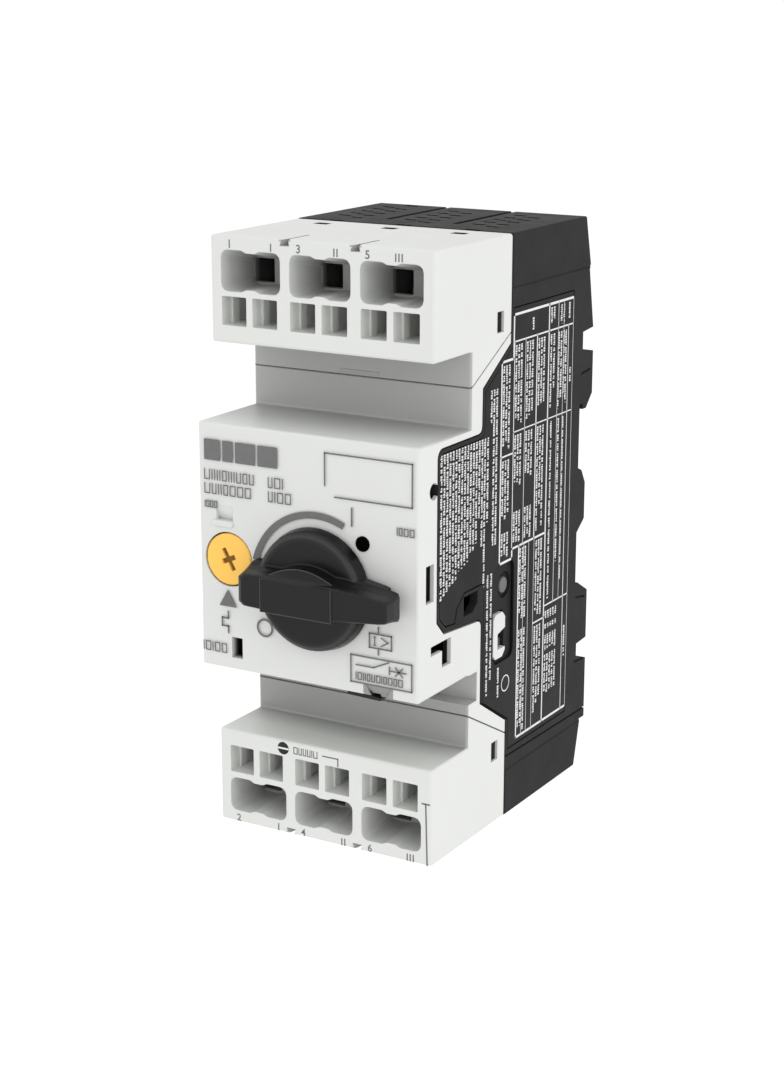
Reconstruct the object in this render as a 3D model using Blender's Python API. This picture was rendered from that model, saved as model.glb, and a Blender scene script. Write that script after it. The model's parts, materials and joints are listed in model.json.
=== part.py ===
"""Three-pole motor protection breaker for a 35 mm rail, as an assembly of separate pieces.

Frame: X across the width, -Y to the front, +Y to the rail, +Z up. The origin is the centre of
the face that sits on the rail. Sizes and places are in millimetres, and MM scales them to metres
when a mesh is made.
"""

import math
from collections import namedtuple

import bmesh
import bpy
from mathutils import Matrix, Vector

MM = 0.001
GAP = 0.3

# Outer case
HALF_WIDTH = 22.5
FRONT_Y = -62.0
WAIST_Y = -43.9
SPLIT_Y = -29.0
COVER_TOP = 21.1
COVER_BOTTOM = -24.0
REAR_SPLIT_TOP = 43.7
REAR_SPLIT_BOTTOM = -46.7
SIDE_WALL = 1.6
FRONT_WALL = 2.4
INNER_HALF = HALF_WIDTH - SIDE_WALL
EDGE_ROUND = 0.45

# Rail seat
RAIL_HALF = 17.5
RAIL_BRIM = 1.3
HOOK_TIP = 16.7
BACK_Y = 5.4

# Poles
POLES = (-14.2, 0.0, 14.2)
POLE_MARK_X = (-7.1, 7.1)
CHAMBER_HALF = 6.3
CHAMBER_BACK = -2.6

# Wire entries of one pole, as offsets from the pole's centre
ENTRY_X = (-3.5, 3.3)
SHAFT_X = (-3.5, 2.9)
SHAFT_SIZE = 5.1
FUNNEL_WIDTH = 12.3
FUNNEL_DEPTH = 9.8
FUNNEL_FLOOR = 1.5
ENTRY_WIDTH = 4.3

# Knob and dial
KNOB_X, KNOB_Z = 2.2, -6.1
KNOB_RADIUS = 11.1
KNOB_BACK = -62.4
KNOB_FRONT = -70.0
DISC_FRONT = -65.4
SHAFT_RADIUS = 3.0
DIAL_X, DIAL_Z = -16.4, -3.5
DIAL_RADIUS = 4.73
# Lip of the setting pointer above the dial: centre x, centre z, width, height
POINTER_LIP = (-17.5, 3.0, 4.4, 1.1)

# Side window for the auxiliary contact
WINDOW = (-34.3, -29.1, -24.4, -15.2)

# Mechanism
LEVER_Y, LEVER_Z = -40.0, 8.0
CARRIER_Z = 21.5
BRIDGE_Y = -10.4
CONTACT_PLANE = -4.2
CONTACT_LOW_Z, CONTACT_HIGH_Z = 13.4, 29.6
TRIP_Z = -11.0
BIMETAL_FOOT = -36.5
LATCH_X, LATCH_Z = 16.8, -4.0

# A terminal block: sign is +1 for the line side, -1 for the load side
Terminal = namedtuple(
    "Terminal",
    "prefix sign front inner outer seam_waist seam_back "
    "funnel_z funnel_high shaft_z wire_z bar_z pivot_z tip_z",
)
UPPER = Terminal(
    "upper", 1, -57.1, 34.5, 53.4, 28.4, 36.1,
    funnel_z=47.3, funnel_high=7.3, shaft_z=40.2, wire_z=46.3, bar_z=49.4, pivot_z=39.6, tip_z=48.4,
)
LOWER = Terminal(
    "lower", -1, -57.0, -37.8, -55.9, -31.8, -39.5,
    funnel_z=-50.4, funnel_high=6.5, shaft_z=-43.5, wire_z=-50.5, bar_z=-53.6, pivot_z=-42.9, tip_z=-52.6,
)


def clear_scene():
    for obj in list(bpy.data.objects):
        bpy.data.objects.remove(obj, do_unlink=True)


def make_material(name, colour, roughness, metallic=0.0):
    material = bpy.data.materials.new(name)
    material.use_nodes = True
    shader = material.node_tree.nodes["Principled BSDF"]
    shader.inputs["Base Color"].default_value = (*colour, 1.0)
    shader.inputs["Roughness"].default_value = roughness
    shader.inputs["Metallic"].default_value = metallic
    material.diffuse_color = (*colour, 1.0)
    return material


# ---------------------------------------------------------------- outlines


def arc(centre_u, centre_v, radius, start, end, steps):
    """Points on an arc, angles in degrees."""
    points = []
    for i in range(steps + 1):
        angle = math.radians(start + (end - start) * i / steps)
        points.append((centre_u + radius * math.cos(angle), centre_v + radius * math.sin(angle)))
    return points


def rounded_rectangle(centre_u, centre_v, width, height, radius, steps=3):
    half_u, half_v = width / 2 - radius, height / 2 - radius
    points = []
    for quarter, (side_u, side_v) in enumerate(((1, 1), (-1, 1), (-1, -1), (1, -1))):
        start = 90 * quarter
        corner = (centre_u + side_u * half_u, centre_v + side_v * half_v)
        points += arc(*corner, radius, start, start + 90, steps)
    return points


def rounded_square(centre_u, centre_v, size):
    return rounded_rectangle(centre_u, centre_v, size, size, 0.15, 1)


def signed_area(outline):
    total = 0.0
    for (u, v), (next_u, next_v) in zip(outline, outline[1:] + outline[:1]):
        total += u * next_v - next_u * v
    return total / 2


def grow(outline, distance):
    """The outline moved outwards by a distance, with mitred corners; inwards if it is negative."""
    turn = 1 if signed_area(outline) > 0 else -1
    moved = []
    for i, (u, v) in enumerate(outline):
        before, after = outline[i - 1], outline[(i + 1) % len(outline)]
        into = Vector((u - before[0], v - before[1])).normalized()
        out = Vector((after[0] - u, after[1] - v)).normalized()
        normal_in = Vector((into.y, -into.x)) * turn
        normal_out = Vector((out.y, -out.x)) * turn
        mitre = (normal_in + normal_out) / (1 + normal_in.dot(normal_out))
        moved.append((u + mitre.x * distance, v + mitre.y * distance))
    return moved


def strip(path, thickness):
    """The outline of a bent strip of even thickness along a path."""
    left, right = [], []
    for i, point in enumerate(path):
        here = Vector(point)
        into = (here - Vector(path[i - 1])).normalized() if i else None
        out = (Vector(path[i + 1]) - here).normalized() if i < len(path) - 1 else None
        into, out = into or out, out or into
        normal_in, normal_out = Vector((-into.y, into.x)), Vector((-out.y, out.x))
        mitre = (normal_in + normal_out) / (1 + normal_in.dot(normal_out)) * thickness / 2
        left.append(tuple(here + mitre))
        right.append(tuple(here - mitre))
    return left + right[::-1]


# ---------------------------------------------------------------- closed shapes, in millimetres

PLACE = {
    "X": lambda u, v, w: (w, u, v),
    "Y": lambda u, v, w: (u, w, v),
    "Z": lambda u, v, w: (u, v, w),
}


def add_loft(bm, loops):
    """A closed body through loops of points, with flat ends."""
    rings = [[bm.verts.new(point) for point in loop] for loop in loops]
    bm.faces.new(rings[0])
    bm.faces.new(rings[-1])
    for near, far in zip(rings, rings[1:]):
        for i in range(len(near)):
            j = (i + 1) % len(near)
            bm.faces.new((near[i], near[j], far[j], far[i]))


def add_prism(bm, outline, axis, low, high):
    """An outline pushed along an axis. Across X it is (y, z), across Y (x, z) and across Z (x, y)."""
    add_loft(bm, [[PLACE[axis](u, v, w) for u, v in outline] for w in (low, high)])


def add_box(bm, low_x, high_x, low_y, high_y, low_z, high_z):
    outline = [(low_y, low_z), (high_y, low_z), (high_y, high_z), (low_y, high_z)]
    add_prism(bm, outline, "X", low_x, high_x)


def add_turned(bm, axis, centre, profile, sides=24):
    """A body turned round an axis, from (place along the axis, radius) pairs."""
    loops = []
    for along, radius in profile:
        ring = arc(*centre, radius, 0, 360, sides)[:-1]
        loops.append([PLACE[axis](u, v, along) for u, v in ring])
    add_loft(bm, loops)


def add_coil(bm, axis, centre, radius, wire, turns, low, high, steps=9, sides=5):
    """A round wire wound as a helix along an axis."""
    loops = []
    count = int(turns * steps)
    rise = (high - low - 2 * wire) / count
    for i in range(count + 1):
        angle = 2 * math.pi * i / steps
        loop = []
        for k in range(sides):
            around = 2 * math.pi * k / sides
            out = radius + wire * math.cos(around)
            u = centre[0] + out * math.cos(angle)
            v = centre[1] + out * math.sin(angle)
            loop.append(PLACE[axis](u, v, low + wire + rise * i + wire * math.sin(around)))
        loops.append(loop)
    add_loft(bm, loops)


# ---------------------------------------------------------------- objects


def mesh_from(name, bm, pivot, smooth):
    bmesh.ops.recalc_face_normals(bm, faces=bm.faces)
    bmesh.ops.translate(bm, verts=bm.verts, vec=-Vector(pivot))
    bmesh.ops.scale(bm, verts=bm.verts, vec=Vector((MM, MM, MM)))
    mesh = bpy.data.meshes.new(name)
    bm.to_mesh(mesh)
    bm.free()
    if smooth:
        mesh.shade_smooth()
        mesh.set_sharp_from_angle(angle=math.radians(35))
    return mesh


def add_object(name, bm, material, pivot=(0, 0, 0), smooth=False):
    mesh = mesh_from(name, bm, pivot, smooth)
    mesh.materials.append(material)
    obj = bpy.data.objects.new(name, mesh)
    obj.location = Vector(pivot) * MM
    bpy.context.scene.collection.objects.link(obj)
    return obj


def round_edges(obj, width, seam=(), segments=2):
    """Rounds the edges of a prism, apart from those that join two points of its seam, as (y, z)."""
    weights = obj.data.attributes.new("bevel_weight_edge", "FLOAT", "EDGE")
    for edge in obj.data.edges:
        ends = [obj.data.vertices[i].co / MM for i in edge.vertices]
        on_seam = [any(math.dist(end.yz, point) < 0.01 for point in seam) for end in ends]
        weights.data[edge.index].value = 0.0 if all(on_seam) else 1.0
    bevel = obj.modifiers.new("Round edges", "BEVEL")
    bevel.width = width * MM
    bevel.segments = segments
    bevel.limit_method = "WEIGHT"


def combine(obj, label, bm, operation):
    """Cuts a shape from an object, or joins it on. The shape stays in the file as a hidden helper."""
    helper = bpy.data.objects.new(f"{obj.name}_{label}", mesh_from(label, bm, (0, 0, 0), False))
    bpy.context.scene.collection.objects.link(helper)
    helper.hide_render = True
    helper.display_type = "WIRE"
    boolean = obj.modifiers.new(label, "BOOLEAN")
    boolean.operation = operation
    boolean.solver = "EXACT"
    boolean.use_self = True
    boolean.object = helper


def cut(obj, label, bm):
    combine(obj, label, bm, "DIFFERENCE")


def join(obj, label, bm):
    combine(obj, label, bm, "UNION")


# ---------------------------------------------------------------- case

# Side boundary between the base and the covers, from the top down, as (y, z)
LOBE_EDGE = [
    (SPLIT_Y, 33.9),
    (-39.4, 27.4),
    *arc(-41.0, 20.9, 1.5, 0, -90, 4),
    *arc(-54.0, 17.9, 1.5, 90, 180, 4),
    (-55.5, -10.9),
    (-53.0, -13.4),
    *arc(-40.6, -15.9, 1.5, 90, 0, 4),
    (-39.1, -30.5),
    (SPLIT_Y, -36.7),
]

# Back of the base from the bottom up: lower rail edge, rail seat, upper hook
BACK_EDGE = [
    (SPLIT_Y, REAR_SPLIT_BOTTOM),
    (BACK_Y, REAR_SPLIT_BOTTOM),
    (BACK_Y, -34.4),
    (1.1, -32.9),
    (1.1, -30.4),
    (BACK_Y, -30.1),
    (BACK_Y, -20.3),
    (1.0, -17.8),
    (0.0, -RAIL_HALF),
    (0.0, RAIL_HALF + GAP),
    (RAIL_BRIM, RAIL_HALF + GAP),
    (RAIL_BRIM, HOOK_TIP),
    (2.8, HOOK_TIP),
    (BACK_Y, 19.3),
    (BACK_Y, 27.5),
    (0.8, 28.4),
    (0.8, 31.7),
    (BACK_Y - 0.2, 32.1),
    (3.0, REAR_SPLIT_TOP),
    (SPLIT_Y, REAR_SPLIT_TOP),
]

# Ribs that fill the hollow of the rail, to the left and right of the seat's middle, as (y, z)
RIB_EDGE = [(-1.0, -7.7), (0.0, -7.7), (3.4, -5.3), (3.4, 1.9), (1.8, 4.6), (0.0, 5.4), (-1.0, 5.4)]
RIB_INNER = 10.0

# Place of the printed side label, as (y, z)
LABEL_EDGE = [
    (-28.3, 40.3),
    (-3.5, 40.3),
    (-3.5, -43.1),
    (-28.2, -43.1),
    (-28.2, -37.1),
    (-38.4, -30.9),
    (-38.4, -8.2),
    (-45.5, -8.2),
    (-48.3, -10.4),
    (-49.0, -12.9),
    (-52.6, -12.6),
    (-54.8, -10.6),
    *arc(-53.6, 17.5, 1.2, 180, 90, 4),
    *arc(-40.4, 20.3, 1.6, -90, 0, 4),
    (-38.7, 26.9),
    (-28.3, 33.4),
]
LABEL_CUTOUT = (-30.5, -15.6, 8.2, 18.8)
LABEL_SINK = 0.7


def make_base_housing(black):
    bm = bmesh.new()
    add_prism(bm, LOBE_EDGE + BACK_EDGE, "X", -HALF_WIDTH, HALF_WIDTH)
    base = add_object("base_housing", bm, black)

    bm = bmesh.new()
    for side in (-1, 1):
        add_prism(bm, RIB_EDGE, "X", *sorted((side * RIB_INNER, side * (HALF_WIDTH - 0.1))))
    join(base, "rail_ribs", bm)

    bm = bmesh.new()
    add_box(bm, -INNER_HALF, INNER_HALF, -70, SPLIT_Y, -60, 60)
    for x in POLES:
        add_box(bm, x - CHAMBER_HALF, x + CHAMBER_HALF, -31, CHAMBER_BACK, -60, 60)
    add_box(bm, -INNER_HALF, INNER_HALF, -31, -25.2, TRIP_Z - 3, TRIP_Z + 3)
    add_box(bm, -INNER_HALF, INNER_HALF, -31, -26.6, CARRIER_Z - 3.2, CARRIER_Z + 3.2)
    cut(base, "chambers", bm)

    bm = bmesh.new()
    low_y, high_y, low_z, high_z = WINDOW
    for side in (-1, 1):
        near, far = sorted((side * 20.0, side * 24.0))
        middle = ((low_y + high_y) / 2, (low_z + high_z) / 2)
        window = rounded_rectangle(*middle, high_y - low_y, high_z - low_z, 1.2)
        add_prism(bm, window, "X", near, far)
        small = [(-45.9, -12.4), (-42.6, -12.4), (-40.7, -11.0), (-40.7, -8.8), (-45.9, -8.8)]
        add_prism(bm, small, "X", near, far)
        shallow, far = sorted((side * 21.3, side * 24.0))
        add_prism(bm, arc(-29.3, -10.7, 2.5, 0, 360, 20)[:-1], "X", shallow, far)
        groove, far = sorted((side * 22.1, side * 24.0))
        for z, tilt in ((23.7, 0.4), (-20.6, -0.8), (-33.9, -0.3)):
            add_prism(bm, strip([(0.2, z), (4.4, z + tilt)], 0.4), "X", groove, far)
        add_prism(bm, strip([(-30, -44.2), (7, -44.9)], 0.35), "X", groove, far)
    cut(base, "side_details", bm)

    bm = bmesh.new()
    add_prism(bm, LABEL_EDGE, "X", HALF_WIDTH - LABEL_SINK, HALF_WIDTH + 1)
    add_box(bm, -11, 11, 1.0, 8, -60, -17.0)
    for side in (-1, 1):
        add_box(bm, *sorted((side * 13.4, side * 19.5)), 1.4, 8, -5.0, 1.6)
    cut(base, "recesses", bm)

    bm = bmesh.new()
    add_box(bm, -1.8, 1.8, 0.5, 3.8, -40.3, -38.8)
    join(base, "spring_step", bm)


def front_outline():
    """Side outline of the front cover, from the lower seam round the front to the upper seam."""
    return [
        (SPLIT_Y - GAP, -39.2),
        (WAIST_Y, -31.5),
        (WAIST_Y, COVER_BOTTOM),
        (FRONT_Y, COVER_BOTTOM),
        (FRONT_Y, COVER_TOP),
        (WAIST_Y, COVER_TOP),
        (WAIST_Y, 28.1),
        (SPLIT_Y - GAP, 35.8),
    ]


def make_front_cover(pale):
    bm = bmesh.new()
    add_prism(bm, front_outline(), "X", -HALF_WIDTH, HALF_WIDTH)
    cover = add_object("front_cover", bm, pale)
    outline = front_outline()
    round_edges(cover, EDGE_ROUND, outline[:2] + outline[-2:])

    inside = [
        (SPLIT_Y + 1, -37.7),
        (WAIST_Y + SIDE_WALL, -30.7),
        (WAIST_Y + SIDE_WALL, COVER_BOTTOM + SIDE_WALL),
        (FRONT_Y + FRONT_WALL, COVER_BOTTOM + SIDE_WALL),
        (FRONT_Y + FRONT_WALL, COVER_TOP - SIDE_WALL),
        (WAIST_Y + SIDE_WALL, COVER_TOP - SIDE_WALL),
        (WAIST_Y + SIDE_WALL, 27.3),
        (SPLIT_Y + 1, 34.3),
    ]
    bm = bmesh.new()
    add_prism(bm, inside, "X", -INNER_HALF, INNER_HALF)
    cut(cover, "hollow", bm)

    lobe = grow(LOBE_EDGE + [(0, -36.7), (0, 33.9)], GAP)
    bm = bmesh.new()
    for side in (-1, 1):
        add_prism(bm, lobe, "X", *sorted((side * (INNER_HALF - GAP), side * 24)))
    cut(cover, "lobe_openings", bm)

    bm = bmesh.new()
    for side in (-1, 1):
        add_box(bm, *sorted((side * 13.6, side * 21.2)), -42.9, -39.8, -30.3, -21.9)
    join(cover, "notch_backs", bm)

    bm = bmesh.new()
    add_prism(bm, rounded_rectangle(*POINTER_LIP, 0.4), "Y", FRONT_Y - 0.3, FRONT_Y + 1)
    join(cover, "pointer_lip", bm)

    bm = bmesh.new()
    add_turned(bm, "Y", (KNOB_X, KNOB_Z), [(-63, SHAFT_RADIUS + 0.4), (-58, SHAFT_RADIUS + 0.4)])
    add_turned(bm, "Y", (DIAL_X, DIAL_Z), [(-63, DIAL_RADIUS + 0.3), (-60.4, DIAL_RADIUS + 0.3)], 40)
    add_turned(bm, "Y", (DIAL_X, DIAL_Z), [(-61, 2.3), (-58, 2.3)], 16)
    add_turned(bm, "Y", (11.46, 3.2), [(-63, 1.36), (-58, 1.36)], 20)
    add_box(bm, -16.05, -13.75, -63, -58, -21.75, -17.9)
    pointer = [(-18.9, 3.6), (-15.4, 3.6), (-15.4, 6.2), (-18.9, 6.2)]
    depths = (0.9, 0.6, 0.05, 0.05)
    add_loft(bm, [
        [(x, FRONT_Y - 0.1, z) for x, z in pointer],
        [(x, FRONT_Y + depth, z) for (x, z), depth in zip(pointer, depths)],
    ])
    add_loft(bm, [
        [(12.1, -62.1, -22.1), (16.9, -62.1, -22.1), (16.1, -62.1, -25), (13.4, -62.1, -25)],
        [(12.1, -61.9, -22.1), (16.9, -61.9, -22.1), (16.1, -60.9, -25), (13.4, -60.9, -25)],
    ])
    add_box(bm, 7.8, 14.7, -61.4, -58.5, -25, -20)
    for side in (-1, 1):
        near, far = sorted((side * 20, side * 24))
        add_prism(bm, arc(-56.95, 12.7, 1.5, 0, 360, 20)[:-1], "X", near, far)
        add_box(bm, near, far, -59.55, -56.8, -6.7, 0.0)
        add_box(bm, near, far, -57.7, -50.5, -16.5, -14.8)
        add_box(bm, near, far, -53.7, -50.5, -19.6, -14.8)
        add_box(bm, *sorted((side * 14.5, side * 24)), WAIST_Y - 1, -40.6, -29.6, COVER_BOTTOM - 0.05)
    cut(cover, "openings", bm)


def block_outline(t):
    """Side outline of a terminal block."""
    back = SPLIT_Y - GAP
    return [
        (t.front, t.inner),
        (t.front, t.outer),
        (back, t.outer),
        (back, t.seam_back),
        (WAIST_Y, t.seam_waist),
        (WAIST_Y, t.inner),
    ]


def funnel_outline(centre_x, centre_z, width, height, pinch):
    """A wide rounded mouth that is pinched in the middle, where a rib guides the two wires apart."""
    corners = rounded_rectangle(centre_x, centre_z, width, height, 1.4)
    quarter = len(corners) // 4
    rib = ((1.9, 0), (0.9, pinch), (-0.9, pinch), (-1.9, 0))
    top = [(centre_x + u, centre_z + height / 2 - v) for u, v in rib]
    bottom = [(2 * centre_x - u, 2 * centre_z - v) for u, v in top]
    return corners[:quarter] + top + corners[quarter:3 * quarter] + bottom + corners[3 * quarter:]


def make_terminal_cover(t, pale):
    bm = bmesh.new()
    add_prism(bm, block_outline(t), "X", -HALF_WIDTH, HALF_WIDTH)
    cover = add_object(f"{t.prefix}_terminal_cover", bm, pale)
    round_edges(cover, EDGE_ROUND, block_outline(t)[2:5])

    floor = t.front + FUNNEL_DEPTH
    cavity = floor + FUNNEL_FLOOR
    inner_z, outer_z = t.inner + t.sign * 2.6, t.outer - t.sign * 1.6
    bm = bmesh.new()
    for x in POLES:
        add_box(bm, x - 6.2, x + 6.2, cavity, -25, *sorted((inner_z, outer_z)))
        mouth = funnel_outline(x, t.funnel_z, FUNNEL_WIDTH, t.funnel_high, 0.45)
        throat = funnel_outline(x, t.wire_z, FUNNEL_WIDTH - 0.8, 5.2, 0.3)
        levels = ((mouth, t.front - 0.5), (mouth, t.front + 0.2), (throat, floor))
        add_loft(bm, [[(u, y, v) for u, v in outline] for outline, y in levels])
        for offset in ENTRY_X:
            hole = rounded_square(x + offset, t.wire_z, ENTRY_WIDTH)
            add_prism(bm, hole, "Y", floor - 0.5, cavity + 1)
        for offset in SHAFT_X:
            shaft = rounded_square(x + offset, t.shaft_z, SHAFT_SIZE)
            add_prism(bm, shaft, "Y", t.front - 1, cavity + 1)
        add_box(bm, x - 1.5, x + 1.5, -34.6, -32.3, *sorted((outer_z - t.sign, t.outer + t.sign)))
    for side in (-1, 1):
        window_z = sorted((t.inner + t.sign * 2.0, t.inner + t.sign * 5.75))
        add_box(bm, *sorted((side * 20, side * 24)), -34.6, -32.1, *window_z)
    edge = t.outer
    for x in POLE_MARK_X:
        add_box(bm, x - 0.25, x + 0.25, t.front - 1, -49.0, *sorted((edge - t.sign * 0.7, edge + t.sign)))
        low, high = edge - t.sign * 1.1, edge + t.sign
        wedge = [(-1.1, low), (1.1, low), (0.5, high), (-0.5, high)]
        add_loft(bm, [
            [(x + u, t.front - 0.3, v) for u, v in wedge],
            [(x + u * 0.3, t.front + 1.8, v) for u, v in wedge],
        ])
    cut(cover, "openings", bm)


def make_rear_cover(prefix, sign, split, end, black):
    """A cap over the arc chambers, with vent slots and two pole grooves. Its back leans forward."""
    front = SPLIT_Y + 0.1
    bm = bmesh.new()
    add_prism(bm, [(front, split), (3.8, split), (1.4, end), (front, end)], "X", -HALF_WIDTH, HALF_WIDTH)
    cover = add_object(f"{prefix}_rear_cover", bm, black)
    round_edges(cover, 0.3)

    inside = end - sign * 1.6
    bm = bmesh.new()
    for x in POLES:
        add_box(bm, x - 6.2, x + 6.2, -31, -1.6, *sorted((split - sign, inside)))
        across = sorted((inside - sign, end + sign))
        for offset, first in ((-2.9, -20.9), (0.9, -22.9)):
            for row in range(5):
                y = first + 4.1 * row
                add_box(bm, x + offset - 1.3, x + offset + 1.3, y - 0.75, y + 0.75, *across)
        add_box(bm, x - 1.5, x + 1.5, SPLIT_Y - 1, SPLIT_Y + 1.0, *across)
    for x in POLE_MARK_X:
        add_box(bm, x - 0.6, x + 0.6, -22.3, 6, *sorted((end - sign * 1.3, end + sign)))
    add_box(bm, POLES[0] - 1.5, POLES[0] + 1.5, -1.4, 0.4, *sorted((end - sign * 1.2, end + sign)))
    cut(cover, "openings", bm)


def make_rating_label(black):
    low = HALF_WIDTH - LABEL_SINK + GAP
    bm = bmesh.new()
    add_prism(bm, grow(LABEL_EDGE, -0.25), "X", low, HALF_WIDTH - 0.05)
    label = add_object("rating_label", bm, black)
    bm = bmesh.new()
    add_prism(bm, rounded_rectangle(*LABEL_CUTOUT, 1.6), "X", low - 1, HALF_WIDTH + 1)
    cut(label, "cutout", bm)


def make_auxiliary_guide(pale):
    low_y, high_y, low_z, high_z = WINDOW
    low_y, low_z, high_z = low_y + GAP, low_z + GAP, high_z - GAP
    outline = [
        (high_y - GAP, low_z + 1.1),
        (high_y - GAP - 1.1, low_z),
        (low_y + 0.9, low_z),
        (low_y, low_z + 0.9),
        (low_y, high_z - 0.9),
        (low_y + 0.9, high_z),
        (high_y - GAP - 1.1, high_z),
        (high_y - GAP, high_z - 1.1),
        (high_y - GAP, high_z - 3.2),
        (low_y + 1.7, high_z - 3.9),
        (low_y + 1.7, low_z + 1.7),
        (high_y - GAP, low_z + 1.7),
    ]
    bm = bmesh.new()
    add_prism(bm, outline, "X", 18.6, HALF_WIDTH - 0.2)
    add_object("auxiliary_guide", bm, pale)


# ---------------------------------------------------------------- controls


def bar_outline(left, right, half):
    """Plan of the grip bar: a blunt left end and a tapering right end, about the knob's axis."""
    nose = half * 0.68
    points = [
        (left, half * 0.72),
        (left + 0.9, half * 0.95),
        (-6.8, half),
        (7.6, half * 0.97),
        (right - 1.2, nose),
        (right - 0.25, nose * 0.9),
        (right, nose * 0.7),
    ]
    return points + [(x, -z) for x, z in reversed(points)]


# Levels of the grip bar from the disc to the front, as (y, left end, right end, half thickness)
BAR_LEVELS = (
    (-62.8, -12.6, 15.5, 4.3),
    (-64.6, -12.6, 15.5, 4.2),
    (-64.8, -12.5, 18.2, 4.1),
    (-65.6, -12.5, 18.3, 3.7),
    (-67.0, -12.3, 18.3, 3.3),
    (-68.9, -11.9, 18.1, 3.1),
    (-69.3, -11.5, 17.9, 3.0),
    (-69.6, -10.9, 17.6, 2.8),
)


def thumb_outline(inset, rise):
    """Plan of the raised thumb rest in the middle of the bar: flat below, arched above."""
    left, right, bottom = -6.8 + inset * 0.3, 7.5 - inset * 0.3, -3.2 + inset * 0.5
    shoulder = 2.7 - inset * 0.1
    points = [(left, bottom), (right, bottom)]
    for i in range(9):
        along = i / 8
        points.append((right + (left - right) * along, shoulder + rise * math.sin(math.pi * along) ** 0.9))
    return points


# Levels of the thumb rest, as (y, inset of its sides, rise of its arch)
THUMB_LEVELS = (
    (-64.5, 0.0, 2.4),
    (-68.2, 0.0, 2.2),
    (-68.5, 0.0, 1.3),
    (-68.9, 0.0, 0.65),
    (-69.5, 0.0, 0.2),
    (-69.85, 0.05, 0.0),
    (KNOB_FRONT, 0.3, 0.0),
)


def make_rotary_knob(dark):
    profile = [
        (KNOB_BACK, KNOB_RADIUS - 0.3),
        (KNOB_BACK - 0.2, KNOB_RADIUS),
        (DISC_FRONT + 1.1, KNOB_RADIUS - 0.35),
        (DISC_FRONT + 0.65, KNOB_RADIUS - 0.5),
        (DISC_FRONT + 0.3, KNOB_RADIUS - 0.8),
        (DISC_FRONT + 0.08, KNOB_RADIUS - 1.2),
        (DISC_FRONT, KNOB_RADIUS - 1.6),
        (DISC_FRONT, 4.0),
    ]
    bm = bmesh.new()
    add_turned(bm, "Y", (KNOB_X, KNOB_Z), profile, 56)
    knob = add_object("rotary_knob", bm, dark, (KNOB_X, FRONT_Y, KNOB_Z), smooth=True)

    bm = bmesh.new()
    loops = []
    for y, left, right, half in BAR_LEVELS:
        loops.append([(KNOB_X + x, y, KNOB_Z + z) for x, z in bar_outline(left, right, half)])
    add_loft(bm, loops)
    join(knob, "grip_bar", bm)

    bm = bmesh.new()
    loops = []
    for y, inset, rise in THUMB_LEVELS:
        loops.append([(KNOB_X + x, y, KNOB_Z + z) for x, z in thumb_outline(inset, rise)])
    add_loft(bm, loops)
    join(knob, "thumb_rest", bm)

    bm = bmesh.new()
    add_turned(bm, "Y", (KNOB_X, KNOB_Z), [(-66.2, SHAFT_RADIUS + GAP), (-60, SHAFT_RADIUS + GAP)])
    cut(knob, "shaft_socket", bm)


def make_knob_shaft(steel):
    centre = (KNOB_X, KNOB_Z)
    bm = bmesh.new()
    add_turned(bm, "Y", centre, [(-65.9, SHAFT_RADIUS), (-47.5, SHAFT_RADIUS)])
    shaft = add_object("knob_shaft", bm, steel, (KNOB_X, FRONT_Y, KNOB_Z), smooth=True)
    bm = bmesh.new()
    add_turned(bm, "Y", centre, [(-48.2, 7.0), (-46.2, 7.0)])
    join(shaft, "crank_disc", bm)
    bm = bmesh.new()
    add_turned(bm, "Y", (KNOB_X - 5, KNOB_Z), [(-47.0, 1.2), (-42.6, 1.2)], 12)
    join(shaft, "crank_pin", bm)


def make_current_dial(yellow):
    centre = (DIAL_X, DIAL_Z)
    profile = [(-62.0, DIAL_RADIUS - 0.2), (-61.85, DIAL_RADIUS), (-60.75, DIAL_RADIUS)]
    bm = bmesh.new()
    add_turned(bm, "Y", centre, profile, 40)
    dial = add_object("current_dial", bm, yellow, (DIAL_X, FRONT_Y, DIAL_Z), smooth=True)
    bm = bmesh.new()
    add_turned(bm, "Y", centre, [(-61.2, 1.95), (-53, 1.95)], 16)
    join(dial, "stem", bm)
    bm = bmesh.new()
    add_turned(bm, "Y", (DIAL_X + 0.9, DIAL_Z), [(-54, 3.1), (-51.5, 3.1)], 20)
    join(dial, "eccentric", bm)
    bm = bmesh.new()
    for tilt, length in ((-60, 4.4), (23, 2.9)):
        along = Vector((math.cos(math.radians(tilt)), math.sin(math.radians(tilt)))) * length / 2
        here = Vector(centre)
        add_prism(bm, strip([tuple(here - along), tuple(here + along)], 0.9), "Y", -63, -61.2)
    cut(dial, "cross_slot", bm)


def make_test_slide(dark):
    bm = bmesh.new()
    add_box(bm, -18.6, -12.8, -59.2, -56.6, -22.0, -17.2)
    slide = add_object("test_slide", bm, dark, (-15.5, -57.9, -19.6))
    bm = bmesh.new()
    add_box(bm, -15.6, -14.2, -60, -58.2, -21.4, -18.2)
    cut(slide, "blade_slot", bm)


# ---------------------------------------------------------------- rail latch


def make_din_rail_latch(dark):
    """A plate that slides in the back of the base. Its lip holds the lower edge of the rail."""
    outline = [
        (1.5, -43.6),
        (4.8, -43.6),
        (BACK_Y - 0.1, -20.3),
        (2.9, -16.5),
        (1.5, -16.5),
    ]
    bm = bmesh.new()
    add_prism(bm, outline, "X", -10.6, 10.6)
    latch = add_object("din_rail_latch", bm, dark, (0, 2.9, -30))
    bm = bmesh.new()
    add_box(bm, -2.3, 2.3, 0, 7, -43.0 + 0.8, -28.0)
    add_box(bm, -5.0, 5.0, 3.6, 8, -27, -23.5)
    cut(latch, "spring_window", bm)


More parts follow.
